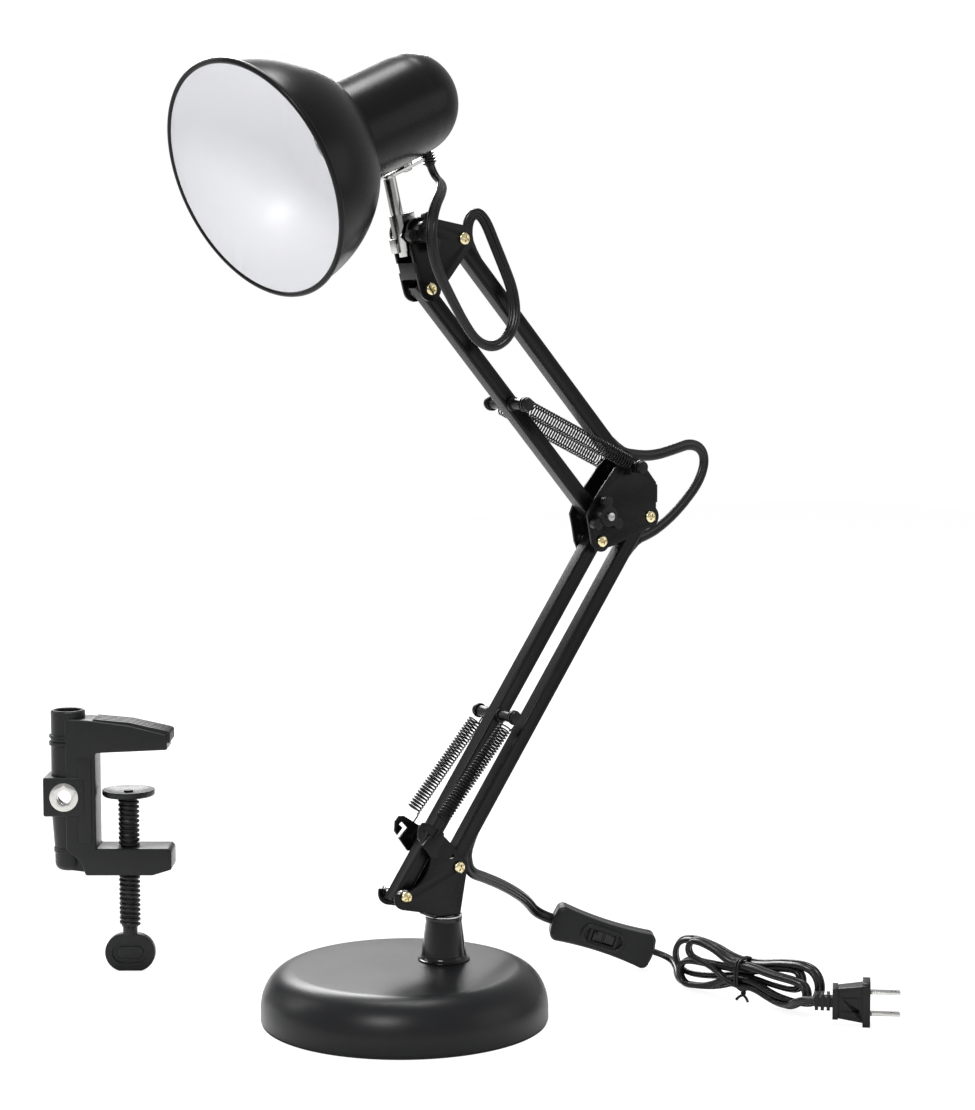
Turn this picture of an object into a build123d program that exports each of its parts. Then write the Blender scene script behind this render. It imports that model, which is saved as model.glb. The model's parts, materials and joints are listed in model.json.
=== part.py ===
from build123d import *
from math import asin, cos, degrees, pi, radians, sin, sqrt
import os

# Architect lamp on a domed base, with its loose table clamp. Millimetres, Z up.
# The arms fold in the XZ plane at y = 0, the front faces -Y, the origin is the base's underside centre.

# Clearances
running = 0.05
side_play = 0.05
slip = 0.08

# Linkage: pivots are (x, z) pairs
lower_pivot = Vector(-5.0, 0, 75.0)
lower_link_offset = 39.4
lower_link_angle = 20.0
lower_arm_length = 246.4
lower_arm_tilt = 35.0
elbow_rise = 15.4
upper_link_offset = 37.1
upper_link_angle = 52.1
upper_arm_length = 183.0
upper_arm_tilt = -42.3
head_pivot_offset = Vector(-7.6, 0, 32.2)
hook_offset = Vector(10.2, 0, 39.0)

# Square tubes
tube_size = 9.5
tube_wall = 1.0
tube_corner = 1.3
arm_end = 5.0
cord_slot_width = 7.0
guide_wall = 0.8
guide_proud = 1.0
guide_lip = 0.2
cord_entry_gap = 0.5
guide_reach_lower_foot = 21.0
guide_reach_lower_head = 22.0
guide_reach_upper_foot = 14.0
guide_reach_upper_head = 15.6

# Folded sheet brackets
sheet = 1.5
bracket_width = 19.0
fold_radius = 2.0
pivot_radius = 2.0
bush_radius = 4.2
screw_head_radius = 3.5
screw_head_height = 2.3
nut_radius = 4.0
nut_height = 3.0
bolt_radius = 2.5
bolt_head_radius = 4.6
bolt_head_height = 3.2
knob_reach = 12.2
knob_hub_radius = 6.2
knob_depth = 8.0
knob_lift = 0.4
hook_plane = 12.0
hook_wire_slot = 2.2
bracket_web_length = 17.3
elbow_web_length = 11.0
top_web_length = 9.7
top_web_tilt = -15.19

# Springs and their pins
spring_radius = 4.05
wire_radius = 0.45
spring_bend = 1.5
upper_spring_curls = 9
lower_spring_curls = 8
lower_spring_neck = 14.0
spring_offset = 15.0
lower_spring_offset = 15.8
spring_pin_radius = 2.4
spring_sleeve_radius = 3.3
spring_flange_radius = 4.4
spring_pin_half = 21.3
lower_pin_station = 123.0
upper_pin_station = 92.6

# Base
base_radius = 84.5
base_skirt = 8.5
base_shoulder_width = 19.0
base_height = 32.0
base_wall = 1.5
pad_inset = 0.5
pad_height = 1.5
post_x = 27.5
weight_height = 14.0
weight_boss_radius = 22.0
collar_height = 26.5
collar_top_radius = 11.0
collar_foot_radius = 13.3
collar_flare_radius = 15.5
spigot_radius = 12.0
spigot_bottom = 5.0
post_radius = 8.0
post_bottom = 14.0
nut_pocket_radius = 18.0
nut_pocket_height = 13.0
collar_nut_radius = 16.5
collar_nut_height = 5.5
washer_height = 0.9
rivet_radius = 6.0
rivet_height = 1.5
rivet_shank = 4.0

# Head
rim_offset = Vector(-111.77, -15.0, 24.91)
head_heading = 8.9
head_rise = 23.3
bell_radius = 67.0
bell_depth = 73.0
bell_length = 62.0
bell_wall = 1.2
rim_radius = 69.06
rim_depth = 3.6
housing_radius = 30.3
housing_dome_step = 0.6
housing_wall = 1.2
housing_flange_radius = 33.0
housing_straight_end = 122.0
socket_radius = 17.5
socket_mouth = 66.0
socket_end = 112.0
socket_thread_radius = 13.25
socket_liner_wall = 1.0
socket_floor_thickness = 11.0
contact_height = 1.4
contact_gap = 0.6
stem_radius = 3.6
stem_bore_radius = 2.4
stem_bottom_offset = Vector(-3.42, 0, -13.29)
stem_top_offset = Vector(-13.97, 0, 29.41)
strap_sheet = 1.2
strap_ear_radius = 10.0
strip_gap = 1.2
strip_sheet = 1.6
strip_width = 10.0
strip_start = 88.5
strip_end = 121.0
strip_screw_station = 107.0
relief_station = 125.5
relief_radius = 4.3
relief_neck_radius = 2.9
relief_length = 7.7

# Cord, drawn as a round tube of the flat twin cord's section
cord_radius = 2.5
cord_corner = 2.6
cord_exit_angle = 38.0
cord_exit_height = 7.5

# Switch
switch_left = Vector(137.0, 42.0, 33.5)
switch_right = Vector(191.0, 8.0, 12.0)
switch_end_half = 11.3
switch_waist_half = 9.4
switch_depth = 16.0
switch_corner = 4.5
switch_end_bulge = 0.8
rocker_length = 14.0
rocker_width = 6.4
rocker_tip = 8.0

# Hank, on edge on the floor
hank_left = Vector(175.0, -29.0, 0)
hank_right = Vector(205.0, -137.0, 0)
hank_turn_radii = (14.4, 8.5)
hank_waist = (8.9, 2.9)
hank_layer_step = 6.9

# Plug
plug_start = Vector(193.3, -142.3, 13.5)
plug_heading = -42.3
plug_plate_height = 27.0
plug_plate_width = 17.0
blade_spacing = 12.7
blade_width = 6.35
blade_thickness = 1.5
blade_length = 17.5

# Clamp
clamp_foot = Vector(-83.0, 194.0, 0)
clamp_yaw = -34.0
clamp_jaw_width = 24.0
clamp_socket_radius = post_radius + slip
clamp_barrel_radius = 10.8
clamp_barrel_x = -37.5
clamp_top = 167.0
clamp_socket_floor = 79.0
clamp_jaw_low = 141.0
clamp_lower_jaw_low = 64.0
clamp_lower_jaw_high = 80.6
clamp_opening_left = -19.0
clamp_thread_radius = 6.5
clamp_pad_radius = 16.5
clamp_pad_top = 116.3
clamp_pad_thickness = 4.0
thumb_width = 31.8
thumb_height = 24.5
thumb_thickness = 6.0
thumb_flat = 0.4

# Worked-out places
half_tube = tube_size / 2
plate_out = bracket_width / 2
plate_in = plate_out - sheet


def polar(angle, length):
    return Vector(length * cos(radians(angle)), 0, length * sin(radians(angle)))


def tilted(tilt, length):
    return Vector(length * sin(radians(tilt)), 0, length * cos(radians(tilt)))


lower_link_pivot = lower_pivot + polar(lower_link_angle, lower_link_offset)
elbow_low = lower_pivot + tilted(lower_arm_tilt, lower_arm_length)
elbow_low_link = lower_link_pivot + tilted(lower_arm_tilt, lower_arm_length)
elbow_high = elbow_low + Vector(0, 0, elbow_rise)
elbow_high_link = elbow_high + polar(upper_link_angle, upper_link_offset)
top_pivot = elbow_high + tilted(upper_arm_tilt, upper_arm_length)
top_link_pivot = elbow_high_link + tilted(upper_arm_tilt, upper_arm_length)
head_pivot = top_pivot + head_pivot_offset
rim_centre = head_pivot + rim_offset
stem_bottom = head_pivot + stem_bottom_offset
stem_top = head_pivot + stem_top_offset
lower_pin_place = lower_pivot + tilted(lower_arm_tilt, lower_pin_station)
upper_pin_place = elbow_high + tilted(upper_arm_tilt, upper_pin_station)
hook_place = lower_pivot + hook_offset
collar_top = base_height + collar_height
web_low = collar_top + 1.0
web_high = web_low + sheet


# Drawing helpers
def front_plane(y):
    return Plane(origin=(0, y, 0), x_dir=(1, 0, 0), z_dir=(0, -1, 0))


def slab(sketch, y_near, y_far):
    return extrude(front_plane(y_far) * sketch, amount=y_far - y_near)


def pin_y(place, y_near, y_far, radius):
    return slab(Pos(place.X, place.Z) * Circle(radius), y_near, y_far)


def lobe(place, radius):
    return Pos(place.X, place.Z) * Circle(radius)


def outline(*points):
    return make_face(Polyline(*points, close=True))


def outline_at(place, *offsets):
    """Face from corners given as x and z steps from a place."""
    return outline(*[(place.X + x, place.Z + z) for x, z in offsets])


def mirrored(shape):
    return mirror(shape, about=Plane.XZ)


def group(*shapes):
    solids = [solid for shape in shapes for solid in shape.solids()]
    return Compound(children=solids)


def revolved(profile, axis=Axis.Z):
    return revolve(Plane.XZ * profile, axis=axis)


def folded_web(start, end, depth):
    """U strip whose outer face runs from start to end, with its sides reaching inwards."""
    plane = Plane(origin=start, x_dir=(0, 1, 0), z_dir=end - start)
    outer = Pos(0, depth) * Rectangle(bracket_width, 2 * depth)
    outer = fillet(outer.vertices().group_by(Axis.Y)[0], fold_radius)
    inner = Pos(0, sheet + depth) * Rectangle(bracket_width - 2 * sheet, 2 * depth)
    inner = fillet(inner.vertices().group_by(Axis.Y)[0], fold_radius - sheet)
    section = (outer - inner) & (Pos(0, depth / 2) * Rectangle(bracket_width, depth))
    return extrude(plane * section, amount=(end - start).length)


def bolt_holes(places, radius):
    return [pin_y(place, -plate_out - 5, plate_out + 5, radius) for place in places]


def pan_screw(place):
    head_base = -plate_out
    head = slab(lobe(place, screw_head_radius), head_base - screw_head_height, head_base)
    head = chamfer(head.edges().group_by(Axis.Y)[0], screw_head_height * 0.5)
    shank = pin_y(place, head_base, plate_out + nut_height + 0.6, pivot_radius)
    return head + shank


def hex_nut(place, y_near, height, radius, bore):
    nut = RegularPolygon(radius, 6) - Circle(bore)
    return slab(Pos(place.X, place.Z) * nut, y_near, y_near + height)


def bush_pair(place, bore):
    ring = Pos(place.X, place.Z) * (Circle(bush_radius) - Circle(bore))
    near = slab(ring, -plate_in, -half_tube - side_play)
    return [near, mirrored(near)]


# Square tube arms, drawn along their own Z from the lower pivot
def arm_place(pivot, tilt):
    return Location((pivot.X, 0, pivot.Z), (0, tilt, 0))


def slot_face(width, end, reach, side):
    plane = Plane(origin=(0, 0, 0), x_dir=(0, 1, 0), z_dir=(1, 0, 0))
    run = reach + arm_end + 1
    strip = Pos(0, end + side * (arm_end + 1 - run / 2 + width / 4)) * Rectangle(width, run - width / 2)
    nose = Pos(0, end - side * (reach - width / 2)) * Circle(width / 2)
    return plane * (strip + nose)


def square_arm(length, holes):
    section = RectangleRounded(tube_size, tube_size, tube_corner)
    section -= RectangleRounded(tube_size - 2 * tube_wall, tube_size - 2 * tube_wall, tube_corner - tube_wall)
    arm = Pos(0, 0, -arm_end) * extrude(section, amount=length + 2 * arm_end)
    for station, radius in holes:
        arm -= Pos(0, 0, station) * Rot(90, 0, 0) * Cylinder(radius + running, 2 * tube_size)
    return arm


def slotted_arm(length, foot_reach, head_reach, holes):
    arm = square_arm(length, holes)
    for end, reach, side in ((0, foot_reach, -1), (length, head_reach, 1)):
        cutter = extrude(slot_face(cord_slot_width, end, reach, side), amount=tube_size)
        arm -= cutter
    return arm


def cord_guide(end, reach, side):
    outer = slot_face(cord_slot_width - 2 * slip, end, reach - slip, side)
    inner = slot_face(cord_slot_width - 2 * slip - 2 * guide_wall, end, reach - slip - guide_wall, side)
    depth = tube_wall + guide_proud + guide_lip
    guide = Pos(half_tube + guide_proud - depth, 0, 0) * extrude(outer - inner, amount=depth)
    trim_height = 2 * reach
    keep = Box(4 * tube_size, 4 * tube_size, trim_height)
    return guide & (Pos(0, 0, end + side * (arm_end - trim_height / 2)) * keep)


def lower_main_rod():
    holes = ((0, pivot_radius), (lower_pin_station, spring_pin_radius - running), (lower_arm_length, pivot_radius))
    return arm_place(lower_pivot, lower_arm_tilt) * square_arm(lower_arm_length, holes)


def lower_link_rod():
    holes = ((0, pivot_radius), (lower_arm_length, pivot_radius))
    arm = slotted_arm(lower_arm_length, guide_reach_lower_foot, guide_reach_lower_head, holes)
    return arm_place(lower_link_pivot, lower_arm_tilt) * arm


def upper_main_rod():
    holes = ((0, bolt_radius), (upper_pin_station, spring_pin_radius - running), (upper_arm_length, pivot_radius))
    return arm_place(elbow_high, upper_arm_tilt) * square_arm(upper_arm_length, holes)


def upper_link_rod():
    holes = ((0, spring_pin_radius), (upper_arm_length, pivot_radius))
    arm = slotted_arm(upper_arm_length, guide_reach_upper_foot, guide_reach_upper_head, holes)
    return arm_place(elbow_high_link, upper_arm_tilt) * arm


def link_guides(pivot, tilt, length, foot_reach, head_reach):
    place = arm_place(pivot, tilt)
    return group(place * cord_guide(0, foot_reach, -1), place * cord_guide(length, head_reach, 1))


# Cross pins that carry the springs
def pin_cap(place, start):
    """Stepped cap on the rear end of a cross pin, from y = start outwards."""
    reach = spring_pin_half
    ring = spring_flange_radius
    sleeve = spring_sleeve_radius
    profile = outline((spring_pin_radius, start), (ring, start), (ring, start + 1.3), (sleeve, start + 1.3),
                      (sleeve, reach - 3.2), (ring, reach - 3.2), (ring, reach - 2.2), (sleeve, reach - 2.2),
                      (sleeve, reach - 1.5), (ring - 0.4, reach - 1.5), (ring - 0.8, reach - 0.2), (0, reach),
                      (0, reach - 1.0), (spring_pin_radius, reach - 1.0))
    return Pos(place.X, 0, place.Z) * Rot(-90, 0, 0) * revolved(profile)


def cross_pin(place):
    return pin_y(place, 1.0 - spring_pin_half, spring_pin_half - 1.0, spring_pin_radius)


def capped_pin(place, start):
    cap = pin_cap(place, start)
    return group(cross_pin(place), cap, mirrored(cap))


# Springs, drawn along their own Z from the pin at the origin
def coil_path(length, body_start, body_end, curls):
    """Eye round the pin, neck, then half circles that climb, all tangent."""
    reach = spring_radius
    bend = spring_bend
    step = (body_end - body_start) / (2 * curls)
    radius = sqrt(reach ** 2 + (step / 2) ** 2)
    edges = [
        ThreePointArc((0, -bend, reach), (reach, -bend, 0), (0, -bend, -reach)),
        ThreePointArc((0, -bend, -reach), (-reach * cos(pi / 4), -bend, -reach * sin(pi / 4)), (-reach, -bend, 0)),
        Line((-reach, -bend, 0), (-reach, -bend, body_start - bend)),
        ThreePointArc((-reach, -bend, body_start - bend),
                      (-reach, -bend * cos(pi / 4), body_start - bend + bend * sin(pi / 4)),
                      (-reach, 0, body_start)),
    ]
    for turn in range(2 * curls):
        side = -1 if turn % 2 == 0 else 1
        z = body_start + turn * step
        edges.append(ThreePointArc((side * reach, 0, z), (0, -side * radius, z + step / 2), (-side * reach, 0, z + step)))
    edges.append(ThreePointArc((-reach, 0, body_end),
                               (-reach, bend * sin(pi / 4), body_end + bend - bend * cos(pi / 4)),
                               (-reach, bend, body_end + bend)))
    return edges


def wound(edges):
    path = Wire(edges)
    plane = Plane(origin=path @ 0, z_dir=path % 0)
    return sweep(plane * RegularPolygon(wire_radius * 1.2, 3), path=path)


def eye_end(length, body_end):
    reach = spring_radius
    bend = spring_bend
    return [
        Line((-reach, bend, body_end + bend), (-reach, bend, length)),
        ThreePointArc((-reach, bend, length), (-reach * cos(pi / 4), bend, length + reach * sin(pi / 4)),
                      (0, bend, length + reach)),
        ThreePointArc((0, bend, length + reach), (reach, bend, length), (0, bend, length - reach)),
    ]


def hook_end(length, body_end):
    reach = spring_radius
    bend = spring_bend
    return [
        Line((-reach, bend, body_end + bend), (-reach, bend, length - bend)),
        ThreePointArc((-reach, bend, length - bend),
                      (-reach, bend + bend * (1 - cos(pi / 4)), length - bend + bend * sin(pi / 4)),
                      (-reach, 2 * bend, length)),
        Line((-reach, 2 * bend, length), (-reach, 2 * bend + 2.4, length)),
    ]


def spring_plane(start, end):
    """Plane whose Z runs from start to end, with its Y along the lamp's Y."""
    along = end - start
    return Plane(origin=start, x_dir=Vector(0, 1, 0).cross(along), z_dir=along)


def upper_spring():
    offset = Vector(0, -spring_offset, 0)
    plane = spring_plane(upper_pin_place + offset, elbow_high_link + offset)
    length = (elbow_high_link - upper_pin_place).length
    margin = spring_radius + 2.4
    edges = coil_path(length, margin, length - margin, upper_spring_curls)
    return plane * wound(edges + eye_end(length, length - margin))


def lower_spring():
    offset = Vector(0, -lower_spring_offset, 0)
    straight = hook_place - lower_pin_place
    swing = degrees(asin(spring_radius / straight.length))
    length = sqrt(straight.length ** 2 - spring_radius ** 2)
    along = straight.rotate(Axis.Y, swing).normalized() * length
    plane = spring_plane(lower_pin_place + offset, lower_pin_place + offset + along)
    body_end = length - lower_spring_neck
    edges = coil_path(length, spring_radius + 2.4, body_end, lower_spring_curls)
    return plane * wound(edges + hook_end(length, body_end))


# Lower bracket
def hook_tab():
    tab = outline_at(lower_pivot, (15, 22.2), (9.3, 30), (6.2, 35), (6.6, 40.5), (9.5, 43.6),
                     (12.8, 43.3), (24.3, 35.7), (19, 22))
    reach = hook_wire_slot / 2
    slot = outline_at(lower_pivot, (8.3 - reach, 31.8), (8.3 + reach, 30.6), (15.2, 35.9), (13.4, 37.6), (11, 40.4), (9, 38.8),
                      (11.5, 36.5))
    plate = slab(tab - slot, hook_plane, hook_plane + sheet)
    step = outline_at(lower_pivot, (17, 28.5), (24.3, 35.7), (22.2, 37.2), (15.2, 31))
    return plate + slab(step, plate_in, hook_plane + sheet)


def lower_bracket():
    web_left = post_x - 11.5
    web_foot = Vector(web_left, 0, web_low + fold_radius) - lower_pivot
    body = outline_at(lower_pivot, (-1.6, -7.3), (17, -11.7), (web_foot.X, web_foot.Z),
                      (web_foot.X + bracket_web_length, web_foot.Z), (41.3, 3), (43.2, 12), (39.5, 19.3), (31.2, 28.7),
                      (24.3, 35.7), (15, 32), (0, 7))
    body += lobe(lower_pivot, 7.5) + lobe(lower_link_pivot, 6.4)
    body -= Pos(lower_pivot.X - 3.0, lower_pivot.Z + 23.0) * Circle(20.5)
    body -= outline_at(lower_pivot, (30.6, 19.2), (34, 19.6), (32.9, 22.6))
    plate = slab(body, plate_in, plate_out) + hook_tab()
    web_start = Vector(web_left, 0, web_low)
    web = folded_web(web_start, web_start + Vector(bracket_web_length, 0, 0), fold_radius + 0.5)
    bracket = plate + mirrored(plate) + web
    for hole in bolt_holes((lower_pivot, lower_link_pivot), pivot_radius):
        bracket -= hole
    return bracket - Pos(post_x, 0, web_low) * Cylinder(rivet_shank, 3 * sheet)


def swivel_pin():
    shank = Pos(post_x, 0, post_bottom) * extrude(Circle(post_radius), amount=web_low - post_bottom)
    shank = chamfer(shank.edges().group_by(Axis.Z)[0], 1.2)
    stud = Pos(post_x, 0, web_low) * extrude(Circle(rivet_shank), amount=sheet)
    head = Pos(post_x, 0, web_high) * extrude(Circle(rivet_radius), amount=rivet_height)
    head = chamfer(head.edges().group_by(Axis.Z)[-1], 0.8)
    return shank + stud + head


def screws_at(*places):
    return group(*[pan_screw(place) for place in places])


def nuts_at(*places):
    return group(*[hex_nut(place, plate_out, nut_height, nut_radius, pivot_radius) for place in places])


def bushes_at(bored_places):
    return group(*[ring for place, bore in bored_places for ring in bush_pair(place, bore)])


# Elbow bracket
def elbow_bracket():
    body = outline_at(elbow_low, (-4.83, -6.24), (8.17, -3.44), (41.87, 8.36), (41.87, 34.46), (30.17, 48.16), (16.67, 49.66),
                      (10.67, 44.66), (-8.33, 21.86), (-10.83, 16.16), (-8.93, 7.96), (-7.33, -0.84))
    body += lobe(elbow_low, 6.5) + lobe(elbow_low_link, 7.0) + lobe(elbow_high_link, 7.0)
    plate = slab(body, plate_in, plate_out)
    web_foot = elbow_low + Vector(43.87, 0, 22.16)
    web = folded_web(web_foot, web_foot + Vector(0, 0, elbow_web_length), fold_radius + 0.5)
    bracket = plate + mirrored(plate) + web
    for hole in bolt_holes((elbow_low, elbow_low_link), pivot_radius):
        bracket -= hole
    bracket -= bolt_holes((elbow_high,), bolt_radius)[0]
    return bracket - bolt_holes((elbow_high_link,), spring_pin_radius)[0]


# Top bracket
def top_bracket():
    body = outline_at(top_pivot, (-11.97, 24.91), (-4.97, -0.59), (-0.17, -7.09), (12.83, 5.91), (29.83, 27.21), (27.83, 34.41), (23.83, 36.91), (5.33, 39.91),
                      (-7.67, 40.61), (-16.17, 32.11))
    body += lobe(head_pivot, 8.5) + lobe(top_link_pivot, 6.5) + lobe(top_pivot, 7.0)
    plate = slab(body, plate_in, plate_out)
    web_line = tilted(top_web_tilt, 1)
    web_foot = top_pivot + Vector(-8.79, 0, 5.41)
    web_head = web_foot + web_line * top_web_length
    web = folded_web(web_head, web_foot, fold_radius + 0.5)
    edge_strip = outline_at(top_pivot, (-14.07, 24.91), (-7.17, -0.59), (-4.57, -0.59), (-11.47, 24.91))
    notch = outline_at(web_foot, (0, 0), (2.2, 0), (web_head.X - web_foot.X + 2.1, web_head.Z - web_foot.Z),
                       (web_head.X - web_foot.X, web_head.Z - web_foot.Z))
    side = slab(edge_strip - notch, plate_in, plate_out)
    bracket = plate + mirrored(plate) + side + mirrored(side) + web
    for hole in bolt_holes((top_pivot, top_link_pivot), pivot_radius):
        bracket -= hole
    return bracket - bolt_holes((head_pivot,), bolt_radius)[0]


def knob_bolt(place):
    reach = plate_out + knob_depth + 2.2
    shank = pin_y(place, -reach, plate_out, bolt_radius)
    head = slab(lobe(place, bolt_head_radius), plate_out, plate_out + bolt_head_height)
    return shank + chamfer(head.edges().group_by(Axis.Y)[-1], 1.0)


def wing_knob(place, turn):
    """Three rounded lobes on a hub, seated on the front of a bracket."""
    start = -plate_out - side_play
    hub = slab(Circle(knob_hub_radius), start - knob_depth, start)
    lobes = Sketch()
    for index in range(3):
        wing = Pos(knob_reach - 3.4, 0) * Circle(3.4) + Pos((knob_reach - 3.4) / 2, 0) * Rectangle(knob_reach - 3.4, 5.2)
        lobes += Rot(0, 0, turn + 120 * index) * wing
    wings = slab(lobes, start - knob_depth + 0.9, start - screw_head_height - knob_lift)
    knob = hub + wings
    knob -= slab(Circle(bolt_radius + running), start - knob_depth - 1, start + 1)
    return Pos(place.X, 0, place.Z) * knob


# Base
def dome_profile(radius, shoulder, top, foot):
    flat = radius - shoulder
    curve = EllipticalCenterArc((flat, base_skirt), shoulder, top - base_skirt, 0, arc_size=90)
    edges = [Line((0, foot), (radius, foot)), Line((radius, foot), (radius, base_skirt)), curve,
             Line((flat, top), (0, top)), Line((0, top), (0, foot))]
    return make_face(edges)


def base_shell():
    outer = dome_profile(base_radius, base_shoulder_width, base_height, pad_height)
    inner = dome_profile(base_radius - base_wall, base_shoulder_width - base_wall, base_height - base_wall, 0)
    shell = revolved(outer) - revolved(inner)
    return shell - Pos(post_x, 0, base_height) * Cylinder(spigot_radius, 4 * base_wall)


def base_weight():
    inner_radius = base_radius - base_wall - 1.5
    top = base_height - base_wall
    disc = extrude(Circle(inner_radius), amount=weight_height - pad_height)
    disc = Pos(0, 0, pad_height) * chamfer(disc.edges().group_by(Axis.Z)[-1], 4.0)
    boss = Pos(post_x, 0, pad_height) * extrude(Circle(weight_boss_radius), amount=top - pad_height)
    weight = disc + boss
    weight -= Pos(post_x, 0, base_height / 2) * Cylinder(spigot_radius + slip, 2 * base_height)
    pocket = Pos(post_x, 0, pad_height) * extrude(Circle(nut_pocket_radius), amount=nut_pocket_height - pad_height)
    return weight - pocket


def base_pad():
    pad = extrude(Circle(base_radius - pad_inset), amount=pad_height)
    return chamfer(pad.edges().group_by(Axis.Z)[0], 0.4)


def post_collar():
    foot = base_height
    top = collar_top
    band = 2.6
    bore = post_radius + slip
    profile = outline((bore, spigot_bottom), (spigot_radius, spigot_bottom), (spigot_radius, foot),
                      (collar_flare_radius, foot), (collar_flare_radius - 0.4, foot + 1.0),
                      (collar_foot_radius, foot + 3.6), (collar_top_radius - 0.3, top - band),
                      (collar_top_radius, top - band), (collar_top_radius, top - 0.5), (collar_top_radius - 0.5, top),
                      (bore, top))
    return Pos(post_x, 0, 0) * revolved(profile)


def collar_nut():
    nut = RegularPolygon(collar_nut_radius, 6) - Circle(spigot_radius)
    return Pos(post_x, 0, nut_pocket_height - collar_nut_height) * extrude(nut, amount=collar_nut_height)


def swivel_washer():
    ring = Circle(collar_top_radius) - Circle(post_radius + slip)
    return Pos(post_x, 0, collar_top) * extrude(ring, amount=washer_height)


# Head: local Z runs back from the rim's centre
head_back = Vector(cos(radians(head_rise)) * cos(radians(head_heading)),
                   cos(radians(head_rise)) * sin(radians(head_heading)), sin(radians(head_rise)))
head_down = (Vector(0, 0, -1) + head_back * head_back.Z).normalized()
head_plane = Plane(origin=rim_centre, x_dir=head_down, z_dir=head_back)


def shade():
    """Bell with a rolled rim and a flat back with a hole for the socket."""
    reach = degrees(asin(bell_length / bell_depth))
    outer_end = bell_radius * cos(radians(reach))
    inner_depth = bell_depth - bell_wall
    inner_radius = bell_radius - bell_wall
    inner_back = bell_length - bell_wall
    inner_reach = degrees(asin(inner_back / inner_depth))
    inner_end = inner_radius * cos(radians(inner_reach))
    start = degrees(asin(rim_depth / bell_depth))
    inner_start = degrees(asin(rim_depth / inner_depth))
    outer_start = Vector(bell_radius * cos(radians(start)), rim_depth)
    inner_start_point = Vector(inner_radius * cos(radians(inner_start)), rim_depth)
    lip = rim_radius - 0.9
    edges = [
        EllipticalCenterArc((0, 0), bell_radius, bell_depth, start, arc_size=reach - start),
        Line((outer_end, bell_length), (socket_radius + 1.5, bell_length)),
        Line((socket_radius + 1.5, bell_length), (socket_radius + 1.5, inner_back)),
        Line((socket_radius + 1.5, inner_back), (inner_end, inner_back)),
        EllipticalCenterArc((0, 0), inner_radius, inner_depth, inner_start, arc_size=inner_reach - inner_start),
        Polyline(inner_start_point, (inner_radius - 0.6, 0.6), (inner_radius + 0.3, 0), (lip, 0), (rim_radius, 0.9),
                 (rim_radius, rim_depth - 1.0), (lip, rim_depth), outer_start),
    ]
    return head_plane * revolved(make_face(edges))


def socket_housing():
    start = bell_length
    end = housing_straight_end
    inner = housing_radius - housing_wall
    dome = housing_radius - housing_dome_step
    inner_dome = dome - housing_wall
    edges = [
        Polyline((inner, start), (housing_flange_radius, start), (housing_flange_radius, start + 1.2),
                 (housing_flange_radius - 0.8, start + 2.0), (housing_radius, start + 2.0), (housing_radius, end - 0.6),
                 (dome, end)),
        CenterArc((0, end), dome, 0, 90),
        Line((0, end + dome), (0, end + inner_dome)),
        CenterArc((0, end), inner_dome, 0, 90),
        Polyline((inner_dome, end), (inner, end - 1.2), (inner, start)),
    ]
    housing = revolved(make_face(edges))
    screw_hole = Pos(0, 0, strip_screw_station) * Rot(0, 90, 0) * Cylinder(pivot_radius, 3 * housing_radius)
    screw_hole &= Pos(2 * housing_radius, 0, strip_screw_station) * Box(4 * housing_radius, 20, 20)
    relief_hole = Pos(housing_radius, 0, relief_station) * Rot(0, 90, 0) * Cylinder(relief_neck_radius, housing_radius)
    return head_plane * (housing - screw_hole - relief_hole)


def lamp_socket():
    bridge = housing_radius - housing_wall - slip
    liner = socket_thread_radius + socket_liner_wall
    floor = socket_end - socket_floor_thickness
    profile = outline((liner, socket_mouth), (socket_radius - 1, socket_mouth), (socket_radius, socket_mouth + 1),
                      (socket_radius, socket_end - 12), (bridge, socket_end - 12), (bridge, socket_end - 9),
                      (socket_radius, socket_end - 9), (socket_radius - 2, socket_end), (0, socket_end), (0, floor),
                      (liner, floor))
    return head_plane * revolved(profile)


def socket_shell():
    depth = socket_end - socket_floor_thickness - contact_height - contact_gap - socket_mouth - 1
    ring = Circle(socket_thread_radius + socket_liner_wall) - Circle(socket_thread_radius)
    return head_plane * (Pos(0, 0, socket_mouth + 1) * extrude(ring, amount=depth))


def socket_contact():
    tab = extrude(Circle(4.5), amount=contact_height)
    tab = chamfer(tab.edges().group_by(Axis.Z)[0], 0.6)
    return head_plane * (Pos(0, 0, socket_end - socket_floor_thickness - contact_height) * tab)


strip_inner = housing_radius + strip_gap
strip_outer = strip_inner + strip_sheet


def strip_bracket():
    """Flat strip under the housing, with a pad that fits the cylinder."""
    length = strip_end - strip_start
    strip = Pos((strip_inner + strip_outer) / 2, 0, strip_start + length / 2) * Box(strip_sheet, strip_width, length)
    strip = fillet(strip.edges().filter_by(Axis.X), strip_width / 2 - 0.6)
    pad = Pos(strip_inner - 2, 0, strip_screw_station) * Rot(0, 90, 0) * Cylinder(4.6, 4)
    pad -= Pos(0, 0, strip_screw_station) * Cylinder(housing_radius, 20)
    strip = strip + pad
    strip -= Pos(strip_inner, 0, strip_screw_station) * Rot(0, 90, 0) * Cylinder(pivot_radius, 12)
    return head_plane * strip


def strip_screw():
    head_height = screw_head_height
    shank_start = housing_radius - housing_wall - 3
    shank_length = strip_outer - shank_start
    head = Pos(strip_outer, 0, strip_screw_station) * Rot(0, 90, 0) * extrude(Circle(screw_head_radius), amount=head_height)
    head = chamfer(head.edges().group_by(Axis.X)[-1], head_height * 0.5)
    shank = Pos(shank_start, 0, strip_screw_station) * Rot(0, 90, 0) * extrude(Circle(pivot_radius), amount=shank_length)
    return head_plane * (head + shank)


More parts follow.
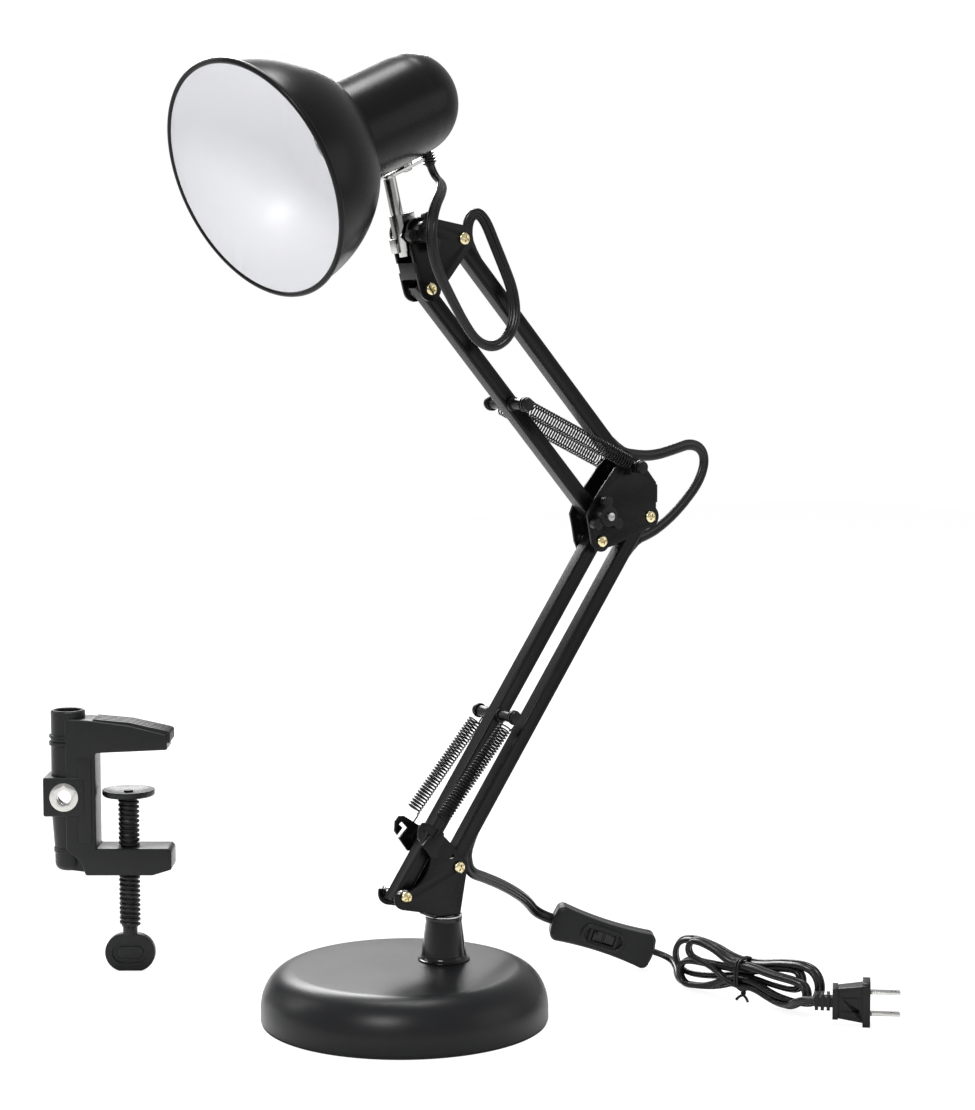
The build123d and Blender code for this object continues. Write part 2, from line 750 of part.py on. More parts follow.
def strain_relief():
    """Ribbed sleeve through the wall, with a flange inside."""
    inner = housing_radius - housing_wall - 3.3
    end = housing_radius + relief_length
    neck = relief_neck_radius
    profile = outline((0, inner), (relief_radius, inner), (relief_radius, inner + 1), (neck, inner + 1), (neck, end), (0, end))
    for index in range(4):
        low = housing_radius + 0.4 + 1.7 * index
        profile += outline((0, low), (relief_radius, low), (relief_radius - 0.3, low + 1.0), (0, low + 1.0))
    sleeve = Pos(0, 0, relief_station) * Rot(0, 90, 0) * revolved(profile)
    return head_plane * sleeve


def stem_axis_direction():
    return (stem_top - stem_bottom).normalized()


def strip_under_side():
    """Half space above the strip's lower face, in the lamp's frame."""
    block = Pos(strip_outer - 30, 0, 100) * Box(60, 60, 160)
    return head_plane * block


def stem():
    direction = stem_axis_direction()
    length = (stem_top - stem_bottom).length + 12
    plane = Plane(origin=stem_bottom, x_dir=(0, 1, 0), z_dir=direction)
    tube = extrude(plane * (Circle(stem_radius) - Circle(stem_bore_radius)), amount=length)
    return tube - strip_under_side()


def stem_strap():
    """Sheet wrapped round the stem, with two ears on the head bolt."""
    direction = stem_axis_direction()
    start = stem_bottom + direction * 3.0
    plane = Plane(origin=start, x_dir=Vector(0, 1, 0).cross(direction), z_dir=direction)
    inner = stem_radius + side_play
    outer = inner + strap_sheet
    reach = 8.5
    wrap = Circle(outer) + Pos(reach / 2, 0) * Rectangle(reach, 2 * outer)
    wrap -= Circle(inner) + Pos(reach, 0) * Rectangle(2 * reach, 2 * inner)
    lug_face = Pos(-outer - 0.9, 0) * RectangleRounded(3.2, 6.0, 0.8)
    wrap_body = extrude(plane * wrap, amount=21)
    lug = extrude(plane * (Pos(0, 0) * lug_face), amount=8.0) - extrude(plane * Circle(outer - 0.3), amount=21)
    ear = Pos(head_pivot.X, head_pivot.Z) * Rot(0, 0, 14) * RegularPolygon(strap_ear_radius, 6)
    ears = slab(ear, inner, outer)
    strap = wrap_body + lug + ears + mirrored(ears)
    return strap - bolt_holes((head_pivot,), bolt_radius + running)[0]


def head_spacers():
    outer = stem_radius + side_play + strap_sheet
    ring = lobe(head_pivot, bush_radius) - lobe(head_pivot, bolt_radius)
    near = slab(ring, -plate_in, -outer - side_play)
    return group(near, mirrored(near))


# Cords: straight runs joined by tangent arcs
def cord_section():
    return RegularPolygon(cord_corner, 8)


def cord_tube(name, points):
    points = [Vector(*point) if isinstance(point, tuple) else point for point in points]
    runs = [(after - before).length for before, after in zip(points, points[1:])]
    radii = []
    for index in range(1, len(points) - 1):
        turn = (points[index] - points[index - 1]).get_angle(points[index + 1] - points[index])
        shorter = min(runs[index - 1], runs[index])
        radii.append(0.45 * shorter / math_tan(turn / 2))
    path = FilletPolyline(*points, radius=radii)
    print(name, "radii", [round(radius, 1) for radius in radii], "runs", [round(run) for run in runs])
    plane = Plane(origin=path @ 0, z_dir=path % 0)
    tube = sweep(plane * cord_section(), path=path)
    expected = cord_section().area * path.length
    print(name, "length", round(path.length, 1), "volume ratio", round(tube.volume / expected, 4))
    return tube


def math_tan(angle):
    return sin(radians(angle)) / cos(radians(angle))


def mouth(pivot, tilt, side, reach):
    """Middle of the cord where it leaves a slot, its direction, and the bend inside the tube."""
    slope = radians(cord_exit_angle)
    edge = reach - guide_wall - cord_entry_gap - cord_corner / sin(slope)
    crossing = edge - (tube_wall + guide_lip) / math_tan(cord_exit_angle)
    along = tilted(tilt, 1) * side
    across = tilted(tilt + 90, 1)
    leave = crossing - (cord_exit_height - half_tube) / math_tan(cord_exit_angle)
    bend = crossing + half_tube / math_tan(cord_exit_angle)
    place = pivot - along * leave + across * cord_exit_height
    direction = along * cos(slope) + across * sin(slope)
    return place, direction, pivot - along * bend


upper_head_mouth = mouth(top_link_pivot, upper_arm_tilt, 1, guide_reach_upper_head)
upper_foot_mouth = mouth(elbow_high_link, upper_arm_tilt, -1, guide_reach_upper_foot)
lower_head_mouth = mouth(elbow_low_link, lower_arm_tilt, 1, guide_reach_lower_head)
lower_foot_mouth = mouth(lower_link_pivot, lower_arm_tilt, -1, guide_reach_lower_foot)
switch_axis = (switch_right - switch_left).normalized()


def cord_in_rod(name, foot_mouth, head_mouth):
    return cord_tube(name, [foot_mouth[0], foot_mouth[2], head_mouth[2], head_mouth[0]])


def relief_end():
    return rim_centre + head_back * relief_station + head_down * (housing_radius + relief_length)


def head_cord_loop():
    leave, direction, _ = upper_head_mouth
    chosen = [
        (49.4, -1.5, 473.4), (54.8, -3.5, 468.6), (59.3, -6.5, 455.0), (64.2, -9.5, 441.0),
        (68.6, -12.0, 427.6), (69.9, -14.0, 412.8), (65.6, -15.2, 401.6), (56.8, -16.0, 396.4), (46.0, -17.2, 398.6),
        (32.0, -19.2, 409.0), (18.0, -22.0, 423.6), (8.2, -24.0, 438.8), (3.8, -25.0, 454.5), (6.8, -23.4, 469.4),
        (14.0, -16.8, 480.8), (20.3, -8.0, 487.8),
    ]
    end = relief_end()
    return cord_tube("head_cord_loop", [leave, leave + direction * 8.5] + chosen + [end + head_down * 6.5, end])


def elbow_cord_loop():
    leave, direction, _ = upper_foot_mouth
    enter, outward, _ = lower_head_mouth
    chosen = [(184.0, -0.4, 327.4), (199.4, -0.8, 331.0), (212.4, 0, 334.2), (222.4, 0.6, 330.6),
              (225.2, 0.8, 321.8), (220.4, 0.6, 310.2), (210.6, 0.2, 299.8), (200.0, 0, 290.6), (190.4, -0.2, 284.2)]
    points = [leave, leave + direction * 9.0] + chosen + [enter + outward * 9.0, enter]
    return cord_tube("elbow_cord_loop", points)


def cord_lead():
    leave, direction, _ = lower_foot_mouth
    chosen = [(49.5, 1.8, 80.6), (60.0, 6.6, 76.4), (77.0, 14.9, 69.0), (95.9, 24.5, 59.4), (113.0, 35.6, 49.6)]
    near_switch = switch_left - switch_axis * 10.0
    points = [leave, leave + direction * 6.5] + chosen + [near_switch, switch_left]
    return cord_tube("cord_lead", points)


# Hank: ovals nested in two layers, drawn in at the waist
hank_along = (hank_right - hank_left).normalized()
hank_centre_height = hank_turn_radii[0] + cord_corner
hank_length = (hank_right - hank_left).length
hank_plane = Plane(origin=hank_left + Vector(0, 0, hank_centre_height), x_dir=hank_along,
                   z_dir=hank_along.cross(Vector(0, 0, 1)))


def run_edges(start_x, end_x, start_y, waist_y, end_y, start_z, end_z):
    """One run from a turn to the waist and on to the next turn, as four arcs each way that stay tangent."""
    middle = (start_x + end_x) / 2
    points = []
    for x0, x1, y0, y1, z0, z1 in ((start_x, middle, start_y, waist_y, start_z, (start_z + end_z) / 2),
                                   (middle, end_x, waist_y, end_y, (start_z + end_z) / 2, end_z)):
        points.append(((x0, y0, z0), ((x0 + x1) / 2, (y0 + y1) / 2, (z0 + z1) / 2), (x1, y1, z1)))
    edges = []
    for first, half, last in points:
        edges.append(TangentArc(first, half, tangent=(1 if end_x > start_x else -1, 0, 0)))
        edges.append(TangentArc(half, last, tangent=edges[-1] % 1))
    return edges


def hank_path():
    outer, inner = hank_turn_radii
    wide, narrow = hank_waist
    front = hank_layer_step / 2
    back = -hank_layer_step / 2
    left = outer + cord_radius
    right = hank_length - left
    # Each row is one run: its height at the start, waist and end, its layer at both ends, its heading
    runs = [
        (-outer, -wide, -outer, back, back, 1),
        (outer, wide, outer, back, back, -1),
        (-inner, -narrow, -inner, back, back, 1),
        (inner, narrow, inner, back, front, -1),
        (-inner, -narrow, -inner, front, front, 1),
        (inner, wide, outer, front, front, -1),
    ]
    edges = []
    for index, (start_y, waist_y, end_y, start_z, end_z, heading) in enumerate(runs):
        start_x, end_x = (left, right) if heading > 0 else (right, left)
        if edges:
            before = edges[-1] @ 1
            bulge = abs(start_y - before.Y) / 2
            middle = ((before.X - heading * bulge), (start_y + before.Y) / 2, start_z)
            edges.append(ThreePointArc(before, middle, (start_x, start_y, start_z)))
        edges.extend(run_edges(start_x, end_x, start_y, waist_y, end_y, start_z, end_z))
    # The last run stops at the waist, where the cord leaves for the plug
    before = edges[-1] @ 1
    edges.append(ThreePointArc(before, (left - outer, 0, front), (left, -outer, front)))
    edges.extend(run_edges(left, right, -outer, -wide, -outer, front, front)[:2])
    lead_out = edges[-1] @ 1
    edges.append(Line(lead_out, lead_out + Vector(2 * cord_radius, 0, 0)))
    return Wire(edges)


def least_gap(path, count):
    """Least distance between stretches of the path that are far apart along it, less the cord."""
    places = [path @ (index / count) for index in range(count + 1)]
    step = path.length / count
    skip = int(6 * cord_radius / step) + 2
    least = 1e9
    for first in range(0, count + 1):
        for second in range(first + skip, count + 1):
            least = min(least, (places[first] - places[second]).length)
    return least - 2 * cord_corner


def cord_hank():
    path = hank_path()
    print("cord_hank length", round(path.length), "least gap", round(least_gap(path, 700), 2))
    plane = Plane(origin=path @ 0, z_dir=path % 0)
    return hank_plane * sweep(plane * cord_section(), path=path)


def hank_end(index):
    path = hank_path()
    place = hank_plane.from_local_coords(path @ index)
    direction = hank_plane.from_local_coords(path @ index + (path % index)) - place
    return place, direction


def cord_to_hank():
    enter, direction = hank_end(0)
    points = [switch_right, switch_right + switch_axis * 7.0, (198.8, -4.0, 7.2), (194.6, -14.0, 4.8), (187.8, -23.0, 3.4),
              enter - direction * 9.0, enter]
    return cord_tube("cord_to_hank", points)


plug_axis = Vector(cos(radians(plug_heading)), sin(radians(plug_heading)), 0)
plug_plane = Plane(origin=plug_start, x_dir=(0, 0, 1), z_dir=plug_axis)


def cord_to_plug():
    leave, direction = hank_end(1)
    points = [leave, leave + direction * 6.5, (191.8, -103.0, 6.6), (192.8, -111.2, 4.8), (191.8, -119.8, 5.2),
              (189.8, -127.4, 7.8), (188.2, -133.6, 11.2), plug_start - plug_axis * 6.0, plug_start]
    return cord_tube("cord_to_plug", points)


def twist_tie():
    """Flat wire ring round the waist of the hank, with two short ends below it."""
    half_height = hank_waist[0] + cord_corner + 0.35
    half_depth = hank_layer_step / 2 + cord_corner + 0.35
    place = hank_plane * Plane(origin=(hank_length / 2, 0, 0), x_dir=(0, 1, 0), z_dir=(1, 0, 0))
    ring = RectangleRounded(2 * half_height + 2.4, 2 * half_depth + 2.4, 4.0)
    ring -= RectangleRounded(2 * half_height, 2 * half_depth, 3.0)
    return place * Pos(0, 0, -1.2) * extrude(ring, amount=2.4)


# Switch, local Z towards the viewer, local X along it
switch_middle = (switch_left + switch_right) * 0.5
switch_face = Vector(-0.534, -0.845, 0)
switch_plane = Plane(origin=switch_middle, x_dir=switch_axis, z_dir=switch_axis.cross(switch_face).cross(switch_axis))
switch_half = (switch_right - switch_left).length / 2


def switch_outline(inset):
    tip = switch_half - inset
    end = tip - switch_end_bulge
    tall = switch_end_half - inset
    waist = switch_waist_half - inset
    near = end - switch_corner
    low = tall - switch_corner
    mid = switch_corner * cos(pi / 4)
    edges = [
        ThreePointArc((-near, tall), (0, waist), (near, tall)),
        ThreePointArc((near, tall), (near + mid, low + mid), (end, low)),
        ThreePointArc((end, low), (tip, 0), (end, -low)),
        ThreePointArc((end, -low), (near + mid, -low - mid), (near, -tall)),
        ThreePointArc((near, -tall), (0, -waist), (-near, -tall)),
        ThreePointArc((-near, -tall), (-near - mid, -low - mid), (-end, -low)),
        ThreePointArc((-end, -low), (-tip, 0), (-end, low)),
        ThreePointArc((-end, low), (-near - mid, low + mid), (-near, tall)),
    ]
    return make_face(edges)


def switch_lower_shell():
    half = switch_depth / 2
    slope = 1.6
    wall = Pos(0, 0, slope - half) * extrude(switch_outline(0), amount=half - slope - 0.1)
    back = Pos(0, 0, -half) * loft([switch_outline(slope), Pos(0, 0, slope) * switch_outline(0)])
    return switch_plane * (wall + back)


def rocker_window(extra):
    return RectangleRounded(rocker_length + 2 * extra, rocker_width + 2 * extra, 0.4 + extra)


def switch_upper_shell():
    half = switch_depth / 2
    slope = 1.4
    wall = extrude(switch_outline(0), amount=half - slope)
    shell = wall + Pos(0, 0, half - slope) * loft([switch_outline(0), Pos(0, 0, slope) * switch_outline(slope)])
    rim = Pos(0, 0, half) * extrude(rocker_window(3.0), amount=1.3)
    rim = fillet(rim.edges().group_by(Axis.Z)[-1], 0.8)
    shell = shell + rim
    shell -= Pos(0, 0, 2.5) * extrude(rocker_window(0.5), amount=half)
    shell -= Rot(90, 0, 0) * Pos(0, half - 1.0, 0) * Cylinder(1.0 + running, rocker_width + 5)
    return switch_plane * shell


def switch_rocker():
    """Rocker on its own cross pin, tipped to one end."""
    half = switch_depth / 2
    long_half = rocker_length / 2
    profile = make_face([
        Line((-long_half, -2.2), (long_half, -2.2)), Line((long_half, -2.2), (long_half, 1.6)),
        ThreePointArc((long_half, 1.6), (0, 0.6), (-long_half, 1.6)), Line((-long_half, 1.6), (-long_half, -2.2)),
    ])
    body = extrude(Plane.XZ * profile, amount=rocker_width / 2, both=True)
    pivot = Rot(90, 0, 0) * Cylinder(1.0, rocker_width + 4.4)
    return switch_plane * (Pos(0, 0, half - 1.0) * Rot(0, rocker_tip, 0) * (body + pivot))


# Plug, local Z along its axis from the cord side
def plug_body():
    ribs = [extrude(RectangleRounded(6.4, 6.4, 1.2), amount=11)]
    for index in range(3):
        ribs.append(Pos(0, 0, 0.4 + 3.4 * index) * extrude(RectangleRounded(10, 8.4, 1.4), amount=2.0))
    flange = Pos(0, 0, 10.6) * extrude(RectangleRounded(19, 14, 1.6), amount=3.2)
    body = Pos(0, 0, 13.8) * loft([Rectangle(17.5, 11.0), Pos(0, 0, 14.2) * Rectangle(21.5, 12.6)])
    plate = Pos(0, 0, 28.0) * extrude(RectangleRounded(plug_plate_height, plug_plate_width, 3.2), amount=4.4)
    plug = ribs[0] + ribs[1] + ribs[2] + ribs[3] + flange + body + plate
    for side in (-1, 1):
        groove = Pos(side * 4.0, 0, 21.0) * Box(1.4, 14.0, 10.0)
        plug -= groove - (Pos(side * 4.0, 0, 21.0) * Box(3.0, 10.2, 12.0))
    return plug_plane * plug


def plug_blades():
    blades = []
    for side in (-1, 1):
        blade = Pos(side * blade_spacing / 2, 0, 32.4 + blade_length / 2) * Box(blade_thickness, blade_width, blade_length)
        blade = chamfer(blade.edges().group_by(Axis.Z)[-1], 0.5)
        blade -= Pos(side * blade_spacing / 2, 0, 32.4 + blade_length - 4.2) * Rot(0, 90, 0) * Cylinder(1.6, 6)
        blades.append(plug_plane * blade)
    return group(*blades)


# Clamp, local X from the screw's axis towards the open end of the jaws
clamp_place = Location((clamp_foot.X, clamp_foot.Y, 0), (0, 0, clamp_yaw))


def clamp_frame():
    half = clamp_jaw_width / 2
    body = outline((-38, 80), (-29, 72), (-26, clamp_lower_jaw_low - 0.7), (16, clamp_lower_jaw_low - 0.7),
                   (28, clamp_lower_jaw_low + 3), (28, clamp_lower_jaw_high - 2), (26, clamp_lower_jaw_high),
                   (clamp_opening_left, clamp_lower_jaw_high), (clamp_opening_left, clamp_jaw_low), (27, clamp_jaw_low + 2),
                   (27, 156), (2, 161.5), (-24, 163.5), (-38, 163.5))
    frame = slab(body, -half, half)
    frame = fillet(frame.edges().filter_by(Axis.Y).group_by(Axis.X)[-1], 1.5)
    barrel_height = clamp_top - 76
    barrel = Pos(clamp_barrel_x, 0, 76) * extrude(Circle(clamp_barrel_radius), amount=barrel_height)
    tail = Pos(clamp_barrel_x, 0, 76) * Cone(8.2, 5.6, 10, align=(Align.CENTER, Align.CENTER, Align.MIN), rotation=(180, 0, 0))
    rings = []
    for low, high, radius in ((76, 80, 12.0), (146, 151, 12.2)):
        rings.append(Pos(clamp_barrel_x, 0, low) * extrude(Circle(radius), amount=high - low))
    boss = slab(Pos(-38.7, 113.4) * RectangleRounded(26.6, 25.2, 3.0), -half - 1.2, half + 1.2)
    frame = frame + barrel + tail + rings[0] + rings[1] + boss
    for index in range(5):
        x = -14 + 8 * index
        frame -= Pos(x, 0, 164 - 0.14 * (x + 24)) * Box(3.2, 2 * half + 2, 4.2)
    frame -= Pos(clamp_barrel_x, 0, clamp_socket_floor) * extrude(Circle(clamp_socket_radius), amount=clamp_top)
    frame -= slab(lobe(Vector(clamp_barrel_x - 1.2, 0, 113.4), 9.0), -half - 4, half + 4)
    frame -= Pos(0, 0, 72) * Cylinder(clamp_thread_radius + running, 30)
    return clamp_place * frame


def clamp_insert():
    ring = Circle(9.0) - Circle(4.4)
    near = slab(Pos(clamp_barrel_x - 1.2, 113.4) * ring, -clamp_jaw_width / 2 - 1.6, -clamp_jaw_width / 2 + 2.4)
    return clamp_place * near


def clamp_screw():
    thread = Pos(0, 0, 28.8) * extrude(Circle(clamp_thread_radius), amount=clamp_pad_top - clamp_pad_thickness - 28.8 - 0.1)
    neck = Pos(0, 0, thumb_height - 1) * extrude(Circle(4.6), amount=28.8 - thumb_height + 1)
    stud = Pos(0, 0, clamp_pad_top - clamp_pad_thickness - 0.1) * extrude(Circle(3.0), amount=clamp_pad_thickness - 0.6)
    plate_face = SlotOverall(thumb_width, thumb_height)
    recess = SlotOverall(thumb_width - 8, thumb_height - 10)
    middle = thumb_height / 2 - thumb_flat
    half = thumb_thickness / 2
    plate = slab(Pos(0, middle) * plate_face, -half, half)
    plate -= slab(Pos(0, middle) * recess, -half - 1, 1.6 - half)
    plate -= slab(Pos(0, middle) * recess, half - 1.6, half + 1)
    plate -= Pos(0, 0, -5) * Box(2 * thumb_width, 2 * thumb_width, 10)
    return clamp_place * (thread + neck + stud + plate)


def clamp_pad():
    top = clamp_pad_top
    low = top - clamp_pad_thickness
    profile = outline((3.0 + running, low), (clamp_pad_radius, low), (clamp_pad_radius, top), (clamp_pad_radius - 2, top),
                      (7.0, top - 1.6), (3.0 + running, top - 1.6))
    return clamp_place * revolved(profile)


parts = {
    "base_shell": base_shell(),
    "base_weight": base_weight(),
    "base_pad": base_pad(),
    "post_collar": post_collar(),
    "collar_nut": collar_nut(),
    "swivel_washer": swivel_washer(),
    "swivel_pin": swivel_pin(),
    "lower_bracket": lower_bracket(),
    "lower_bracket_screws": screws_at(lower_pivot, lower_link_pivot),
    "lower_fasteners": group(nuts_at(lower_pivot, lower_link_pivot),
                             bushes_at(((lower_pivot, pivot_radius), (lower_link_pivot, pivot_radius)))),
    "lower_main_rod": lower_main_rod(),
    "lower_link_rod": lower_link_rod(),
    "lower_cord_guides": link_guides(lower_link_pivot, lower_arm_tilt, lower_arm_length, guide_reach_lower_foot,
                                     guide_reach_lower_head),
    "lower_spring_pin": capped_pin(lower_pin_place, half_tube),
    "lower_spring_front": lower_spring(),
    "lower_spring_rear": mirrored(lower_spring()),
    "elbow_bracket": elbow_bracket(),
    "elbow_screws": screws_at(elbow_low, elbow_low_link),
    "elbow_fasteners": group(nuts_at(elbow_low, elbow_low_link),
                             bushes_at(((elbow_low, pivot_radius), (elbow_low_link, pivot_radius),
                                        (elbow_high, bolt_radius), (elbow_high_link, spring_pin_radius))),
                             knob_bolt(elbow_high)),
    "elbow_knob": wing_knob(elbow_high, 90),
    "elbow_spring_pin": capped_pin(elbow_high_link, plate_out),
    "upper_main_rod": upper_main_rod(),
    "upper_link_rod": upper_link_rod(),
    "upper_cord_guides": link_guides(elbow_high_link, upper_arm_tilt, upper_arm_length, guide_reach_upper_foot,
                                     guide_reach_upper_head),
    "upper_spring_pin": capped_pin(upper_pin_place, half_tube),
    "upper_spring_front": upper_spring(),
    "upper_spring_rear": mirrored(upper_spring()),
    "top_bracket": top_bracket(),
    "top_screws": screws_at(top_pivot, top_link_pivot),
    "top_fasteners": group(nuts_at(top_pivot, top_link_pivot),
                           bushes_at(((top_pivot, pivot_radius), (top_link_pivot, pivot_radius))),
                           head_spacers(), knob_bolt(head_pivot)),
    "head_knob": wing_knob(head_pivot, 75),
    "stem_strap": stem_strap(),
    "stem": stem(),
    "strip_bracket": strip_bracket(),
    "strip_screw": strip_screw(),
    "shade": shade(),
    "socket_housing": socket_housing(),
    "lamp_socket": lamp_socket(),
    "socket_contacts": group(socket_shell(), socket_contact()),
    "strain_relief": strain_relief(),
    "head_cord_loop": head_cord_loop(),
    "cord_in_upper_rod": cord_in_rod("cord_in_upper_rod", upper_foot_mouth, upper_head_mouth),
    "elbow_cord_loop": elbow_cord_loop(),
    "cord_in_lower_rod": cord_in_rod("cord_in_lower_rod", lower_foot_mouth, lower_head_mouth),
    "cord_lead": cord_lead(),
    "switch_lower_shell": switch_lower_shell(),
    "switch_upper_shell": switch_upper_shell(),
    "switch_rocker": switch_rocker(),
    "cord_to_hank": cord_to_hank(),
    "cord_hank": cord_hank(),
    "twist_tie": twist_tie(),
    "cord_to_plug": cord_to_plug(),
    "plug_body": plug_body(),
    "plug_blades": plug_blades(),
    "clamp_frame": clamp_frame(),
    "clamp_insert": clamp_insert(),
    "clamp_screw": clamp_screw(),
    "clamp_pad": clamp_pad(),
}

os.makedirs("parts", exist_ok=True)
for name, shape in parts.items():
    export_step(shape, f"parts/{name}.step")
    print(name, len(shape.solids()), round(shape.volume))
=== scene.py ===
import bmesh
import bpy
import json
from math import asin, cos, degrees, pi, radians, sin, sqrt
from mathutils import Matrix, Vector


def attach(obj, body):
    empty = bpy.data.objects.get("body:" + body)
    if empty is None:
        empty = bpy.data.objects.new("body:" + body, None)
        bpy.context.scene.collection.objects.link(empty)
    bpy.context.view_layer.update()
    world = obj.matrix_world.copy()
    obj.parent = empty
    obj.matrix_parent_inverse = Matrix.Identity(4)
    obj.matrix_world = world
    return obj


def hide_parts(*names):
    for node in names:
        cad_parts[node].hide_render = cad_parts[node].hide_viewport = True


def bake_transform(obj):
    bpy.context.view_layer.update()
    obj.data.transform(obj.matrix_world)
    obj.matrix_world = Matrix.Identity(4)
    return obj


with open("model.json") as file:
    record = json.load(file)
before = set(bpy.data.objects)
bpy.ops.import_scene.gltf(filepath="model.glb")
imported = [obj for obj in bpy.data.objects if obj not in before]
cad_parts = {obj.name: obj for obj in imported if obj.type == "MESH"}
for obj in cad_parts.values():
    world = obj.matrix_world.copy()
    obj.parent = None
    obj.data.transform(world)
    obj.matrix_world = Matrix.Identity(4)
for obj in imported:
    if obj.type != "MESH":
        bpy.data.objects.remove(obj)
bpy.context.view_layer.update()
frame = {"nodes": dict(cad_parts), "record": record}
scene = bpy.context.scene
behaviour = frame["record"]["behaviour"]
bodyOf = {node: body for body, nodes in behaviour["bodies"].items() for node in nodes}
slotOf = {part["node"]: part["material_slot"] for part in frame["record"]["subparts"]}
millimetre = 0.001


# Camera first, worked out from the photograph's own frame
photograph = {
    "height": 1110,
    "focalPixels": 2458.5,
    "sensorWidth": 36.0,
    "clip": (0.05, 20.0),
    "place": (-0.7592, -1.2007, 0.3965),
    "aim": (0.05895, 0.0, 0.2715),
}


def makeCamera(photo):
    data = bpy.data.cameras.new("photoCamera")
    data.sensor_width = photo["sensorWidth"]
    data.lens = photo["focalPixels"] / photo["height"] * data.sensor_width
    data.clip_start, data.clip_end = photo["clip"]
    camera = bpy.data.objects.new("photoCamera", data)
    scene.collection.objects.link(camera)
    camera.location = Vector(photo["place"])
    camera.rotation_mode = "QUATERNION"
    camera.rotation_quaternion = (Vector(photo["aim"]) - camera.location).to_track_quat("-Z", "Y")
    scene.camera = camera


makeCamera(photograph)
scene.view_settings.view_transform = "Standard"
print("camera set")


# Node graphs: a wire carries one socket and adds Math nodes when it is used in an expression
class Wire:
    def __init__(self, graph, socket):
        self.graph = graph
        self.socket = socket

    def maths(self, operation, first, second):
        return self.graph.node("ShaderNodeMath", {"operation": operation}, {0: first, 1: second})

    def __add__(self, other):
        return self.maths("ADD", self, other)

    def __radd__(self, other):
        return self.maths("ADD", other, self)

    def __sub__(self, other):
        return self.maths("SUBTRACT", self, other)

    def __mul__(self, other):
        return self.maths("MULTIPLY", self, other)


class Graph:
    def __init__(self, tree):
        self.tree = tree

    def node(self, kind, settings=None, inputs=None, output=0):
        made = self.tree.nodes.new(kind)
        for key, value in (settings or {}).items():
            setattr(made, key, value)
        for key, value in (inputs or {}).items():
            self.feed(made.inputs[key], value)
        return Wire(self, made.outputs[output])

    def feed(self, socket, value):
        if isinstance(value, Wire):
            self.tree.links.new(value.socket, socket)
        elif value is not None:
            socket.default_value = value


class Finish(Graph):
    def __init__(self, name, colour, roughness, metallic=0.0, **fixed):
        self.material = bpy.data.materials.new(name)
        self.material.use_nodes = True
        self.material.diffuse_color = (*colour, 1.0)
        super().__init__(self.material.node_tree)
        self.shader = self.tree.nodes["Principled BSDF"]
        self.colour = colour
        self.set("Base Color", (*colour, 1.0))
        self.set("Roughness", roughness)
        self.set("Metallic", metallic)
        for key, value in fixed.items():
            self.set(key.replace("_", " ").title().replace("Ior", "IOR"), value)

    def set(self, name, value):
        self.feed(self.shader.inputs[name], value)

    def place(self, stretch=(1.0, 1.0, 1.0)):
        coordinates = self.node("ShaderNodeTexCoord", output="Object")
        return self.node("ShaderNodeMapping", {}, {"Vector": coordinates, "Scale": stretch})

    def noise(self, scale, detail, stretch=(1.0, 1.0, 1.0)):
        inputs = {"Vector": self.place(stretch), "Scale": scale, "Detail": detail}
        return self.node("ShaderNodeTexNoise", {}, inputs)

    def tint(self, mask, low, high):
        dark = tuple(channel * low for channel in self.colour) + (1.0,)
        pale = tuple(min(channel * high, 1.0) for channel in self.colour) + (1.0,)
        inputs = {"Factor": mask, 6: dark, 7: pale}
        self.set("Base Color", self.node("ShaderNodeMix", {"data_type": "RGBA"}, inputs, output=2))

    def bump(self, height, distance):
        self.set("Normal", self.node("ShaderNodeBump", {}, {"Height": height, "Distance": distance}))


def sprayedPaint(name, colour, roughness, spread, peel, coat, gloss):
    paint = Finish(name, colour, roughness, coat_weight=coat, coat_roughness=0.12, specular_ior_level=gloss)
    cloud = paint.noise(38.0, 3.0)
    peelNoise = paint.noise(720.0, 2.0)
    speck = paint.noise(2600.0, 1.0)
    paint.tint(cloud, 0.86, 1.16)
    paint.set("Roughness", roughness + (cloud - 0.5) * spread + (speck - 0.5) * spread)
    paint.bump(peelNoise + speck * 0.35, peel)
    return paint.material


def platedMetal(name, colour, roughness, along, wear=0.10):
    metal = Finish(name, colour, roughness, 1.0)
    stretch = tuple(60.0 if axis == along else 1400.0 for axis in "xyz")
    streaks = metal.noise(1.0, 3.0, stretch)
    patches = metal.noise(210.0, 4.0)
    metal.tint(patches, 0.80, 1.14)
    metal.set("Roughness", roughness + (streaks - 0.5) * wear + (patches - 0.5) * wear)
    metal.bump(streaks + patches, 0.00001)
    return metal.material


def mouldedPlastic(name, colour, roughness, grain, gloss=0.4):
    plastic = Finish(name, colour, roughness, specular_ior_level=gloss)
    stipple = plastic.noise(2400.0, 2.0)
    flow = plastic.noise(45.0, 2.0)
    plastic.tint(flow, 0.85, 1.2)
    plastic.set("Roughness", roughness + (flow - 0.5) * 0.08 + (stipple - 0.5) * 0.10)
    plastic.bump(stipple, grain)
    return plastic.material


def glossEnamel(name, colour, roughness):
    enamel = Finish(name, colour, roughness, coat_weight=0.12, coat_roughness=0.2)
    ripple = enamel.noise(260.0, 2.0)
    haze = enamel.noise(24.0, 2.0)
    enamel.tint(haze, 0.985, 1.0)
    enamel.set("Roughness", roughness + (ripple - 0.5) * 0.05)
    enamel.bump(ripple, 0.00003)
    return enamel.material


def vinylJacket(name, colour):
    jacket = Finish(name, colour, 0.30, specular_ior_level=0.34)
    scuff = jacket.noise(480.0, 4.0)
    mottle = jacket.noise(90.0, 2.0)
    jacket.tint(scuff, 0.8, 1.35)
    jacket.set("Roughness", 0.30 + (mottle - 0.5) * 0.14 + (scuff - 0.5) * 0.08)
    jacket.bump(scuff, 0.00004)
    return jacket.material


